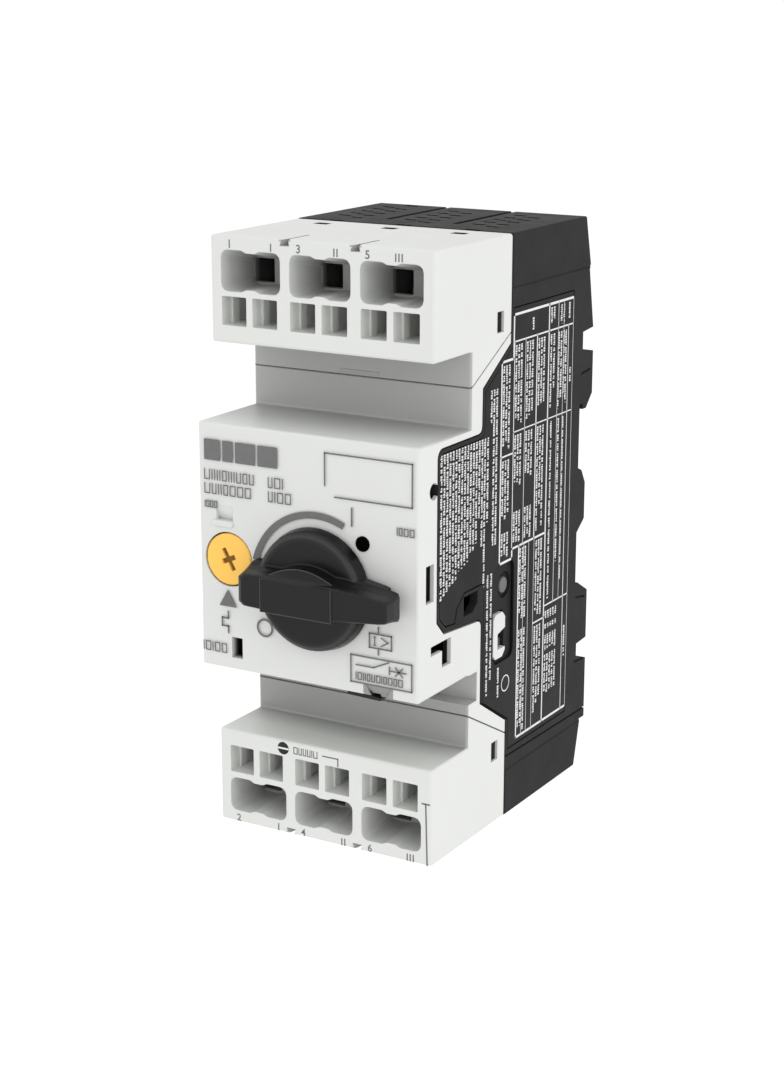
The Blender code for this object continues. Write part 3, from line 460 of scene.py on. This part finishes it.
# Painted shade: a near-black without gloss for the inside of a small hole
HOLE_SHADE = printed("hole_painted_shade", grey(0.002), 0.8, 0.0)
# Painted shade: a darkened yellow for the floor of the dial's slot
SLOT_SHADE = printed("dial_slot_painted_shade", (0.22, 0.10, 0.015), 0.6)

FINISH = {
    "pale_cover": PALE,
    "black_housing": BLACK,
    "label": LABEL,
    "dark_control": DARK,
    "yellow_dial": YELLOW,
    "inner_plastic": INNER,
    "steel": STEEL,
    "contact_copper": COPPER,
    "bimetal_strip": BIMETAL,
}
SPECIAL_FINISH = {
    "front_cover": PALE_FRONT,
    "rotary_knob": KNOB,
    "upper_rear_cover": BLACK_CAPS,
    "lower_rear_cover": BLACK_CAPS,
    "upper_terminal_cover": PALE_UPPER,
    "lower_terminal_cover": PALE_LOWER,
}


def paint_nodes():
    for part in frame["record"]["subparts"]:
        obj = nodes[part["node"]]
        obj.data.materials.clear()
        obj.data.materials.append(SPECIAL_FINISH.get(part["node"], FINISH[part["material_slot"]]))


# ---------------------------------------------------------------- mesh helpers

# Print starts just under the face and stands just over it
INK_LOW, INK_HIGH = -0.02, 0.012


def on_front(u, v, w):
    return Vector((u, FRONT - w, v)) * MM


def on_upper(u, v, w):
    return Vector((u, UPPER_FRONT - w, v)) * MM


def on_lower(u, v, w):
    return Vector((u, LOWER_FRONT - w, v)) * MM


def on_label(u, v, w):
    return Vector((LABEL_X + w, u, v)) * MM


def area(outline):
    total = 0.0
    for (u, v), (next_u, next_v) in zip(outline, outline[1:] + outline[:1]):
        total += u * next_v - next_u * v
    return total


def extrude(bm, place, outline, low=INK_LOW, high=INK_HIGH):
    """A closed plate with the outline in the face's plane, between two heights over the face."""
    if area(outline) < 0:
        outline = outline[::-1]
    bottom = [bm.verts.new(place(u, v, low)) for u, v in outline]
    top = [bm.verts.new(place(u, v, high)) for u, v in outline]
    bm.faces.new(bottom[::-1])
    bm.faces.new(top)
    for i in range(len(outline)):
        bm.faces.new((bottom[i - 1], bottom[i], top[i], top[i - 1]))


def bar(bm, place, u0, v0, u1, v1):
    extrude(bm, place, [(u0, v0), (u1, v0), (u1, v1), (u0, v1)])


def stroke(bm, place, start, end, width):
    """A straight line with square ends that reach half a width past its points."""
    along = Vector((end[0] - start[0], end[1] - start[1])).normalized() * width / 2
    side = Vector((-along.y, along.x))
    a, b = Vector(start) - along, Vector(end) + along
    extrude(bm, place, [tuple(a - side), tuple(b - side), tuple(b + side), tuple(a + side)])


def path(bm, place, points, width):
    for start, end in zip(points, points[1:]):
        stroke(bm, place, start, end, width)


def frame_path(bm, place, u0, v0, u1, v1):
    """The outline of an upright rectangle."""
    path(bm, place, [(u0, v0), (u1, v0), (u1, v1), (u0, v1), (u0, v0)], FRAME_LINE)


def arc(centre, radius, start, end, steps):
    angles = [math.radians(start + (end - start) * i / steps) for i in range(steps + 1)]
    return [(centre[0] + radius * math.cos(a), centre[1] + radius * math.sin(a)) for a in angles]


def band(bm, place, centre, radius, width, start, end, steps=48):
    """A stretch of a ring, given by its outer radius."""
    outer = arc(centre, radius, start, end, steps)
    extrude(bm, place, outer + arc(centre, radius - width, end, start, steps))


def ring(bm, place, centre, radius, width):
    band(bm, place, centre, radius, width, 0, 180, 24)
    band(bm, place, centre, radius, width, 180, 360, 24)


def disc(bm, place, centre, radius, low=INK_LOW, high=INK_HIGH):
    extrude(bm, place, arc(centre, radius, 0, 360, 40)[:-1], low, high)


def add_piece(name, bm, material, body="housing"):
    mesh = bpy.data.meshes.new(name)
    bm.to_mesh(mesh)
    bm.free()
    mesh.materials.append(material)
    piece = bpy.data.objects.new(name, mesh)
    bpy.context.scene.collection.objects.link(piece)
    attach(piece, body)
    return piece


def soften(piece, width):
    bevel = piece.modifiers.new("soft_edges", "BEVEL")
    bevel.width = width * MM
    bevel.segments = 3
    bevel.limit_method = "ANGLE"
    bevel.angle_limit = math.radians(35)


# ---------------------------------------------------------------- printing

DRAW = random.Random(7)
THIN_LINE, CONTACT_LINE, FRAME_LINE, SYMBOL_LINE = 0.2, 0.24, 0.26, 0.3
# Height of a font's capitals as a share of its size
CAPITAL_SHARE = 0.73


def filler_row(bm, place, start, length, height, along, across):
    """A row of small blocks in word-like groups that stands in for a line of text.

    along is the direction of the row in the face's plane, across the direction of the blocks' height.
    """
    position = 0.0
    word = DRAW.randint(3, 9)
    while position < length:
        width = height * DRAW.choice((0.34, 0.5, 0.62))
        tall = height * DRAW.choice((0.72, 1.0, 1.0))
        a = Vector(start) + Vector(along) * position
        b = a + Vector(along) * min(width, length - position) + Vector(across) * tall
        if (b - a).length > 0.2:
            bar(bm, place, a.x, a.y, b.x, b.y)
        position += width + height * 0.2
        word -= 1
        if word == 0:
            position += height * 0.55
            word = DRAW.randint(2, 9)


def front_row(bm, place, u, v, length, height, line=THIN_LINE):
    """A row of plain outlined boxes and uprights in place of larger lettering."""
    position = 0.0
    while position < length:
        left, right = u + position, u + position + height * DRAW.choice((0.45, 0.6))
        top = v + height
        kind = DRAW.randint(0, 3)
        stroke(bm, place, (left, v), (left, top), line)
        if kind:
            stroke(bm, place, (right, v), (right, top), line)
            stroke(bm, place, (left + line, v), (right - line, v), line)
        if kind > 1:
            stroke(bm, place, (left + line, top), (right - line, top), line)
        position += (right - left if kind else 0) + height * 0.32


def label_row(bm, y, top, bottom, height=0.62):
    """A row that runs down the side label, with the blocks' height towards the front."""
    filler_row(bm, on_label, (y, top), top - bottom, height, (0, -1), (-1, 0))


def add_digit(text, place, u, v, height, name):
    """A digit as a thin raised plate, centred on (u, v)."""
    curve = bpy.data.curves.new(name, "FONT")
    curve.body = text
    curve.size = height / CAPITAL_SHARE
    curve.align_x, curve.align_y = "CENTER", "CENTER"
    curve.extrude = (INK_HIGH - INK_LOW) / 2
    curve.offset = 0.03
    source = bpy.data.objects.new(name, curve)
    bpy.context.scene.collection.objects.link(source)
    bpy.context.view_layer.update()
    mesh = bpy.data.meshes.new_from_object(source.evaluated_get(bpy.context.evaluated_depsgraph_get()))
    bpy.data.objects.remove(source)
    bpy.data.curves.remove(curve)
    for vertex in mesh.vertices:
        x, y, depth = vertex.co
        vertex.co = place(u + x, v + y, (INK_HIGH + INK_LOW) / 2 + depth)
    mesh.name = name
    mesh.materials.clear()
    mesh.materials.append(INK_GREY)
    digit = bpy.data.objects.new(name, mesh)
    bpy.context.scene.collection.objects.link(digit)
    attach(digit, "housing")


def print_front():
    bm = bmesh.new()
    # Open frame for a write-on field
    path(bm, on_front, [(4.0, 12.6), (4.0, 18.35), (21.3, 18.35), (21.3, 10.8), (6.0, 10.8)], FRAME_LINE)
    # Filler rows
    for u, width in ((-21.1, 3.4), (-17.2, 2.2), (-14.5, 4.2), (-9.8, 4.1)):
        bar(bm, on_front, u, 14.35, u + width, 18.1)
    for v, rows in ((10.85, ((-21.1, 10.0), (-7.6, 3.4))), (8.3, ((-21.1, 9.2), (-7.6, 4.9)))):
        for u, length in rows:
            front_row(bm, on_front, u, v, length, 1.75)
    front_row(bm, on_front, -21.1, 5.75, 2.7, 1.1)
    front_row(bm, on_front, 18.4, 5.75, 3.1, 1.25)
    front_row(bm, on_front, -22.0, -21.0, 4.6, 1.6)
    # Off ring, on bar and the band between them
    ring(bm, on_front, (-8.7, -15.0), 1.72, 0.36)
    bar(bm, on_front, 9.25, 6.0, 9.56, 9.4)
    band(bm, on_front, (KNOB_X, KNOB_Z), 13.75, 1.24, 65, 165, 60)
    # Pointer of the dial
    extrude(bm, on_front, [(-16.55, -9.05), (-18.4, -12.2), (-14.7, -12.2)])
    # Thermal element
    near, far = -16.55, -17.85
    step = [(near, -13.2), (near, -14.4), (far, -14.4), (far, -15.9), (near, -15.9), (near, -17.1)]
    path(bm, on_front, step, SYMBOL_LINE)
    # Magnetic element
    frame_path(bm, on_front, 12.9, -12.45, 17.3, -15.0)
    stroke(bm, on_front, (14.7, -11.2), (14.7, -12.2), FRAME_LINE)
    stroke(bm, on_front, (14.7, -15.3), (14.7, -16.1), FRAME_LINE)
    path(bm, on_front, [(15.25, -13.0), (16.6, -13.75), (15.25, -14.5)], THIN_LINE)
    stroke(bm, on_front, (13.95, -13.2), (13.95, -14.3), THIN_LINE)
    for serif_z in (-13.0, -14.5):
        stroke(bm, on_front, (13.75, serif_z), (14.15, serif_z), 0.18)
    # Contact symbol in its frame
    frame_path(bm, on_front, 9.15, -16.9, 21.35, -21.8)
    path(bm, on_front, [(10.2, -18.6), (13.7, -18.6), (16.8, -17.2)], CONTACT_LINE)
    stroke(bm, on_front, (16.9, -18.0), (16.9, -19.3), CONTACT_LINE)
    cross_z = -18.65
    stroke(bm, on_front, (17.1, cross_z), (20.2, cross_z), CONTACT_LINE)
    for rise in (-0.75, 0.75):
        stroke(bm, on_front, (18.1, cross_z - rise), (19.5, cross_z + rise), CONTACT_LINE)
    front_row(bm, on_front, 10.2, -21.2, 8.8, 1.2)
    add_piece("front_print", bm, INK_GREY)


def tally(bm, place, u, v, count):
    """One to three upright strokes that count the pole, in place of its letter mark."""
    pitch, half_width, half_height = 0.62, 0.13, 0.7
    for i in range(count):
        centre = u + (i - (count - 1) / 2) * pitch
        bar(bm, place, centre - half_width, v - half_height, centre + half_width, v + half_height)


def print_blocks():
    bm = bmesh.new()
    for count, u in ((1, -9.9), (2, 3.2), (3, 15.6)):
        tally(bm, on_upper, u, 51.85, count)
    add_piece("upper_print", bm, INK_GREY)

    bm = bmesh.new()
    for count, u in ((1, -9.8), (2, 4.2), (3, 18.2)):
        tally(bm, on_lower, u, -55.05, count)
    front_row(bm, on_lower, -6.3, -40.0, 5.2, 1.2)
    path(bm, on_lower, [(-0.1, -39.3), (3.1, -39.3), (3.1, -40.7)], 0.25)
    stroke(bm, on_lower, (20.6, -44.2), (22.0, -44.2), SYMBOL_LINE)
    stroke(bm, on_lower, (21.3, -44.3), (21.65, -55.75), SYMBOL_LINE)
    add_piece("lower_print", bm, INK_GREY)

    bm = bmesh.new()
    disc(bm, on_lower, (-8.6, -39.4), 1.2)
    add_piece("screwdriver_mark", bm, DARK_PRINT_AND_SHADE)
    bm = bmesh.new()
    blade = [(-9.75, -39.6), (-7.45, -39.6), (-7.45, -39.25), (-9.75, -39.25)]
    extrude(bm, on_lower, blade, INK_HIGH - 0.01, INK_HIGH + 0.01)
    add_piece("screwdriver_mark_bar", bm, INK_WHITE)

    for text, u in (("1", -18.5), ("3", -4.3), ("5", 9.5)):
        add_digit(text, on_upper, u, 51.9, 1.5, f"upper_digit_{text}")
    for text, u in (("2", -18.6), ("4", -4.4), ("6", 9.8)):
        add_digit(text, on_lower, u, -55.1, 1.4, f"lower_digit_{text}")


# Lines of the side label's table, as (y, z, y, z, width)
TABLE_LINES = [
    (-27.9, 38.9, -3.4, 38.9, 0.45),
    (-3.4, 38.9, -3.4, -41.8, 0.45),
    (-24.7, -41.8, -3.4, -41.8, 0.45),
    (-27.9, 38.9, -27.9, 31.0, 0.45),
    (-32.4, 31.0, -27.9, 31.0, 0.45),
    (-32.4, 31.0, -32.4, -6.1, 0.45),
    (-32.4, -6.1, -27.5, -6.1, 0.45),
    (-27.5, -6.1, -27.5, -4.3, 0.45),
    (-27.5, -4.3, -14.0, -4.3, 0.4),
    (-24.7, -4.3, -24.7, -41.8, 0.4),
    (-27.6, 34.0, -27.6, -4.3, 0.25),
    (-13.8, 38.9, -13.8, -41.8, 0.4),
    (-18.6, 34.0, -18.6, -4.3, 0.35),
    (-27.6, 34.0, -3.4, 34.0, 0.28),
    (-27.6, 17.5, -3.4, 17.5, 0.22),
    (-32.4, 13.7, -27.6, 13.7, 0.3),
    (-23.2, 34.0, -23.2, -4.3, 0.16),
    (-9.9, 38.9, -9.9, -18.8, 0.16),
    (-7.6, 38.9, -7.6, -18.8, 0.12),
    (-5.6, 34.0, -5.6, -41.8, 0.22),
    (-13.5, -18.8, -3.4, -18.8, 0.28),
    (-18.2, -21.0, -13.8, -21.0, 0.28),
    (-22.6, -4.3, -22.6, -41.8, 0.12),
    (-20.6, -4.3, -20.6, -41.8, 0.12),
    (-18.4, -4.3, -18.4, -41.8, 0.12),
]

# Runs of filler rows on the side label, as (first y, number of rows, top z, bottom z, ragged length)
LABEL_TEXT = [
    (-41.3, 3, 18.4, -1.5, 6.0),
    (-38.2, 1, 18.4, -9.0, 0.0),
    (-37.1, 1, 18.4, 3.0, 0.0),
    (-35.9, 1, 26.6, 20.8, 0.0),
    (-34.9, 2, 26.6, -2.2, 1.0),
    (-36.6, 1, -7.0, -30.0, 0.0),
    (-35.2, 1, -7.0, -27.2, 0.0),
    (-31.3, 3, 30.2, 14.8, 2.0),
    (-31.3, 3, 12.9, 1.8, 1.6),
    (-31.3, 3, -0.6, -5.4, 1.0),
    (-26.6, 3, 33.3, 18.4, 2.0),
    (-22.2, 3, 33.3, 19.0, 3.0),
    (-26.6, 3, 16.8, 6.0, 2.5),
    (-22.2, 3, 16.8, 7.0, 2.5),
    (-26.6, 3, 2.5, -3.6, 1.0),
    (-22.2, 3, 2.5, -3.6, 1.0),
    (-17.5, 3, 33.2, 19.5, 1.5),
    (-17.5, 3, 16.8, -3.4, 7.0),
    (-12.5, 1, 33.2, 19.5, 0.0),
    (-11.3, 1, 33.2, 23.0, 0.0),
    (-9.3, 3, 33.2, 18.4, 3.0),
    (-6.3, 1, 33.2, 19.4, 0.0),
    (-12.0, 1, 16.8, -17.6, 0.0),
    (-8.9, 1, 16.8, -11.0, 0.0),
    (-7.0, 1, 16.8, -15.0, 0.0),
    (-4.3, 1, 25.8, 23.0, 0.0),
    (-12.5, 2, 38.2, 35.0, 1.0),
    (-8.4, 2, 38.2, 34.6, 0.5),
    (-5.0, 1, 38.2, 34.8, 0.0),
    (-20.0, 1, 37.4, 35.2, 0.0),
    (-23.8, 3, -5.0, -20.0, 3.0),
    (-23.8, 3, -20.8, -41.0, 3.0),
    (-17.2, 3, -5.0, -20.4, 2.0),
    (-17.2, 3, -21.8, -40.6, 6.0),
    (-12.6, 5, -20.0, -21.6, 0.2),
    (-12.6, 5, -22.6, -23.6, 0.1),
    (-12.6, 5, -24.8, -28.0, 0.4),
    (-12.6, 5, -28.8, -36.6, 0.6),
    (-4.4, 1, -25.0, -31.2, 0.0),
    (-32.0, 1, -25.8, -31.5, 0.0),
]
ROW_PITCH = 1.06

# Paragraph in front of the table, whose rows get shorter towards the rear: first y, top and bottom z
PARAGRAPH = (-54.0, 18.4, -8.2)
PARAGRAPH_ROWS, PARAGRAPH_SLANT = 12, 0.62


def print_label():
    bm = bmesh.new()
    for y, z, end_y, end_z, width in TABLE_LINES:
        stroke(bm, on_label, (y, z), (end_y, end_z), width)
    ring(bm, on_label, (-29.3, -29.6), 1.6, 0.22)
    add_piece("label_table", bm, INK_WHITE)

    bm = bmesh.new()
    for y, count, top, bottom, ragged in LABEL_TEXT:
        for i in range(count):
            label_row(bm, y + i * ROW_PITCH, top, bottom + DRAW.uniform(0, ragged))
    y, top, bottom = PARAGRAPH
    for i in range(PARAGRAPH_ROWS):
        label_row(bm, y + i * ROW_PITCH, top, bottom + PARAGRAPH_SLANT * i + DRAW.uniform(0, 1.0))
    add_piece("label_rows", bm, INK_WHITE)


# ---------------------------------------------------------------- small moulded details


def make_seams():
    """Thin lips behind the seams between the front cover and the terminal blocks, in a darkened pale that paints
    the shade in the gaps.
    """
    half_thick = 0.09
    for name, (low_z, high_z) in (("upper_seam_lip", UPPER_SEAM), ("lower_seam_lip", LOWER_SEAM)):
        slope = (high_z - low_z) / (SPLIT - WAIST)
        start, end = (WAIST + 0.1, low_z + 0.1 * slope), (SPLIT - 0.2, high_z - 0.2 * slope)
        bm = bmesh.new()
        along = Vector((end[0] - start[0], end[1] - start[1])).normalized()
        side = Vector((-along.y, along.x)) * half_thick
        outline = [tuple(Vector(p) + s * side) for p, s in ((start, -1), (end, -1), (end, 1), (start, 1))]
        reach = HALF_WIDTH - 0.1
        extrude(bm, lambda y, z, x: Vector((x, y, z)) * MM, outline, -reach, reach)
        add_piece(name, bm, SEAM)


def make_cap_seams():
    """Lips behind the seams between the rear covers and the housing, along both sides."""
    caps = (("upper_cap_lip", lo("upper_rear_cover")[2]), ("lower_cap_lip", hi("lower_rear_cover")[2]))
    low_y, high_y = SPLIT + 0.5, 3.5
    rim, half_height, thick = HALF_WIDTH - 0.13, 0.55, 0.6
    for name, seam_z in caps:
        low_z, high_z = seam_z - half_height, seam_z + half_height
        bm = bmesh.new()
        for side in (-1, 1):
            low_x, high_x = sorted((side * rim, side * (rim - thick)))
            outline = [(low_x, low_z), (high_x, low_z), (high_x, high_z), (low_x, high_z)]
            extrude(bm, lambda x, z, y: Vector((x, y, z)) * MM, outline, high_y, low_y)
        add_piece(name, bm, BLACK)


def make_vent_shade_rims():
    """Near-black rims that widen the vents of the rear covers: painted shade of their dark openings."""
    covers = (
        ("upper_vent_shade_rims", hi("upper_rear_cover")[2], 1),
        ("lower_vent_shade_rims", lo("lower_rear_cover")[2], -1),
    )
    columns = ((-2.9, -20.9), (0.9, -22.9))
    rows, pitch = 5, 4.1
    inner, outer = (1.25, 0.74), (0.95, 1.2)
    for name, end, sign in covers:
        bm = bmesh.new()
        for pole in POLE_CENTRES:
            for offset, first in columns:
                for row in range(rows):
                    x, y = pole + offset, first + pitch * row
                    for side in (-1, 1):
                        rim = [
                            (x - inner[0], y + side * inner[1]),
                            (x + inner[0], y + side * inner[1]),
                            (x + outer[0], y + side * outer[1]),
                            (x - outer[0], y + side * outer[1]),
                        ]
                        extrude(bm, lambda u, v, w: Vector((u, v, end + sign * w)) * MM, rim)
        add_piece(name, bm, DARK_PRINT_AND_SHADE)


def make_side_bosses():
    """Pins at the bottom of the round recesses in both sides of the housing."""
    bottom, height, radius = 21.25, 0.75, 1.5
    outline = arc((-29.75, -10.6), radius, 0, 360, 32)[:-1]
    bm = bmesh.new()
    for side in (-1, 1):
        extrude(bm, lambda y, z, w: Vector((side * (bottom + w), y, z)) * MM, outline, 0.0, height)
    bmesh.ops.recalc_face_normals(bm, faces=bm.faces)
    soften(add_piece("side_bosses", bm, GREY_PIN), 0.2)


def make_front_details():
    """Painted shade in the hole and in the catch of the front cover, as near-black pieces sunk into them, and the
    tab on its upper wall.
    """
    hole, hole_radius = (11.46, 3.2), 1.34
    # Painted shade: a near-black disc fills the hole
    bm = bmesh.new()
    disc(bm, on_front, hole, hole_radius, low=-1.2, high=-0.06)
    add_piece("front_hole_shade", bm, HOLE_SHADE)

    # Painted shade: a near-black piece sunk in the catch's slot
    bm = bmesh.new()
    catch = [(8.0, -24.6), (14.7, -24.8), (14.7, -24.3), (13.0, -24.1), (13.0, -22.0), (8.0, -22.0)]
    extrude(bm, on_front, catch, low=-3.2, high=-0.75)
    add_piece("lower_catch_shade", bm, DARK_PRINT_AND_SHADE)

    bm = bmesh.new()
    wall = FRONT - WAIST
    tab = [(-4.1, 28.75), (4.0, 28.75), (4.0, 29.35), (-4.1, 29.35)]
    extrude(bm, on_front, tab, low=wall - 0.3, high=wall + 0.14)
    soften(add_piece("seam_tab", bm, PALE_FRONT), 0.08)


def make_shaft_ribs():
    """Upright ribs on the side walls of the release shafts, which guide the blade."""
    blocks = (
        ("upper_shaft_ribs", on_upper, UPPER_SHAFT_Z, PALE_UPPER),
        ("lower_shaft_ribs", on_lower, LOWER_SHAFT_Z, PALE_LOWER),
    )
    height, sunk = 0.45, 0.03
    back, front = -4.8, -2.8
    for name, place, centre_z, material in blocks:
        low_z, high_z = centre_z - SHAFT_HALF, centre_z + SHAFT_HALF
        bm = bmesh.new()
        for x in POLE_CENTRES:
            for offset in SHAFT_OFFSETS:
                for side in (-1, 1):
                    wall = x + offset + side * SHAFT_HALF
                    low_x, high_x = sorted((wall + side * sunk, wall - side * height))
                    rib = [(low_x, low_z), (high_x, low_z), (high_x, high_z), (low_x, high_z)]
                    extrude(bm, place, rib, back, front)
        add_piece(name, bm, material)


def make_dial_slot():
    """A brown floor in the cross slot of the dial: painted shade of the yellow inside the slot."""
    long_arm, short_arm = (-60, 4.3, -0.7), (23, 2.8, -0.71)
    half_width, bottom = 0.42, -0.82
    centre = Vector((DIAL_X, DIAL_Z))
    bm = bmesh.new()
    for tilt, length, top in (long_arm, short_arm):
        along = Vector((math.cos(math.radians(tilt)), math.sin(math.radians(tilt)))) * length / 2
        side = Vector((-along.y, along.x)).normalized() * half_width
        corners = [centre - along - side, centre + along - side, centre + along + side, centre - along + side]
        extrude(bm, on_front, [tuple(c) for c in corners], bottom, top)
    add_piece("dial_slot_floor", bm, SLOT_SHADE, "dial")


def add_loft(bm, rings):
    """A closed skin over rings of points in millimetres, with a cap at each end."""
    rings = [[bm.verts.new(Vector(point) * MM) for point in ring_points] for ring_points in rings]
    for first, second in zip(rings, rings[1:]):
        for k in range(len(first)):
            bm.faces.new((first[k - 1], first[k], second[k], second[k - 1]))
    bm.faces.new(rings[0][::-1])
    bm.faces.new(rings[-1])
    bmesh.ops.recalc_face_normals(bm, faces=bm.faces)


def circle(sides):
    """The cosine and sine of evenly spread angles."""
    angles = [2 * math.pi * k / sides for k in range(sides)]
    return [(math.cos(angle), math.sin(angle)) for angle in angles]


def smooth(piece):
    for face in piece.data.polygons:
        face.use_smooth = True


def tube(bm, points, radius, sides=8):
    """A thin round bead along a line of points in millimetres, nearly in the front's plane."""
    rings = []
    for i, point in enumerate(points):
        before, after = points[max(i - 1, 0)], points[min(i + 1, len(points) - 1)]
        along = (Vector(after) - Vector(before)).normalized()
        side = along.cross(Vector((0, 1, 0))).normalized()
        out = side.cross(along)
        rings.append([Vector(point) + radius * (c * side + s * out) for c, s in circle(sides)])
    add_loft(bm, rings)


def make_knob_highlight_beads():
    """Raised beads in a lighter grey around the thumb rest of the knob: a painted highlight along its edges."""
    left, right, low, shoulder = -6.8, 7.5, -3.2, 2.7
    ridge, rise, sunk = -68.2, 2.2, 0.05
    face, inset = -69.86, 0.02
    arch_bead, edge_bead = 0.09, 0.08
    steps = 24
    bm = bmesh.new()
    arch = []
    for i in range(steps + 1):
        along = i / steps
        height = shoulder + rise * math.sin(math.pi * along) ** 0.9 - sunk
        arch.append((KNOB_X + right + (left - right) * along, ridge, KNOB_Z + height))
    tube(bm, arch, arch_bead)
    near, far = KNOB_X + left + inset, KNOB_X + right - inset
    bottom, top = KNOB_Z + low + inset, KNOB_Z + shoulder
    for ends in ([(far, bottom), (far, top)], [(near, top), (near, bottom)], [(near, bottom), (far, bottom)]):
        tube(bm, [(x, face, z) for x, z in ends], edge_bead)
    smooth(add_piece("knob_edge_highlights", bm, KNOB_HIGHLIGHT, "knob"))


def round_knob():
    """Rounds the knob's edges all over, as its mould does."""
    knob = nodes["rotary_knob"]
    weld = knob.modifiers.new("weld", "WELD")
    weld.merge_threshold = 0.001 * MM
    skin = knob.modifiers.new("skin", "REMESH")
    skin.mode = "VOXEL"
    skin.voxel_size = 0.1 * MM
    skin.use_smooth_shade = True
    ease = knob.modifiers.new("ease", "SMOOTH")
    ease.factor = 0.5
    ease.iterations = 3


def make_spring_coil():
    """The latch spring as a coil of round wire, in place of the part's own spring."""
    low, high = lo("latch_spring"), hi("latch_spring")
    wire, turns, steps, sides = 0.25, 6, 20, 10
    reach = (high[0] - low[0]) / 2 - wire
    x, y = (low[0] + high[0]) / 2, (low[1] + high[1]) / 2
    count = turns * steps
    rings = []
    for i in range(count + 1):
        turn = 2 * math.pi * i / steps
        height = low[2] + wire + (high[2] - low[2] - 2 * wire) * i / count
        ring_points = []
        for c, s in circle(sides):
            out = reach + wire * c
            ring_points.append((x + out * math.cos(turn), y + out * math.sin(turn), height + wire * s))
        rings.append(ring_points)
    bm = bmesh.new()
    add_loft(bm, rings)
    piece = add_piece("latch_spring_coil", bm, STEEL, "housing")
    smooth(piece)
    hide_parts("latch_spring")
    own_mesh(piece)


# ---------------------------------------------------------------- stage

# The floor lies so far below that the part casts no shadow on it
FLOOR_DROP = 100
FLOOR_HALF = 30.0


def make_stage():
    """A pale floor and an even white background."""
    bm = bmesh.new()
    corners = [(x * FLOOR_HALF, y * FLOOR_HALF) for x, y in ((-1, -1), (1, -1), (1, 1), (-1, 1))]
    floor_z = (min(lo("lower_rear_cover")[2], LOWER_OUTER) - FLOOR_DROP) * MM
    bm.faces.new([bm.verts.new((x, y, floor_z)) for x, y in corners])
    mesh = bpy.data.meshes.new("floor")
    bm.to_mesh(mesh)
    bm.free()
    floor = bpy.data.objects.new("floor", mesh)
    bpy.context.scene.collection.objects.link(floor)
    g = Graph("floor_paper")
    g.link(g.ramp(g.noise(3, 3), [(0.3, grey(0.96)), (0.7, grey(0.98))]), g.shader.inputs["Base Color"])
    g.shader.inputs["Roughness"].default_value = 0.9
    g.shader.inputs["Specular IOR Level"].default_value = 0.1
    mesh.materials.append(g.material)

    world = bpy.data.worlds.new("studio")
    world.use_nodes = True
    back = world.node_tree.nodes["Background"]
    back.inputs["Color"].default_value = (*grey(1.0), 1.0)
    back.inputs["Strength"].default_value = 1.05
    bpy.context.scene.world = world
    bpy.context.scene.view_settings.view_transform = "Standard"


def add_light(name, place, target, size, power):
    """A square soft light at a place in metres that faces its target."""
    data = bpy.data.lights.new(name, "AREA")
    data.size = size
    data.energy = power
    light = bpy.data.objects.new(name, data)
    light.location = place
    light.rotation_euler = (Vector(target) - Vector(place)).to_track_quat("-Z", "Y").to_euler()
    bpy.context.scene.collection.objects.link(light)


def make_camera():
    az, el = math.radians(AZIMUTH), math.radians(ELEVATION)
    back = Vector((math.sin(az) * math.cos(el), -math.cos(az) * math.cos(el), math.sin(el)))
    right = Vector((0, 0, 1)).cross(back).normalized()
    up = back.cross(right)
    turn = Matrix.Rotation(math.radians(ROLL), 3, back)
    right, up = turn @ right, turn @ up
    rows = Matrix((right, up, back)).transposed().to_4x4()
    rows.translation = Vector(CAMERA) * MM
    data = bpy.data.cameras.new("camera")
    data.sensor_fit = "VERTICAL"
    data.sensor_height = SENSOR
    data.lens = LENS
    data.clip_start, data.clip_end = 0.01, 100
    camera = bpy.data.objects.new("camera", data)
    camera.matrix_world = rows
    bpy.context.scene.collection.objects.link(camera)
    bpy.context.scene.camera = camera


paint_nodes()
print_front()
print_blocks()
print_label()
make_seams()
make_front_details()
make_cap_seams()
make_vent_shade_rims()
make_side_bosses()
make_knob_highlight_beads()
make_shaft_ribs()
make_dial_slot()
round_knob()
make_spring_coil()
make_stage()
make_camera()
add_light("key", (1.1, -0.6, 0.45), (0, -0.03, 0), size=0.8, power=2.5)
add_light("top", (-0.2, 0.1, 1.2), (0, 0, 0), size=1.0, power=1)
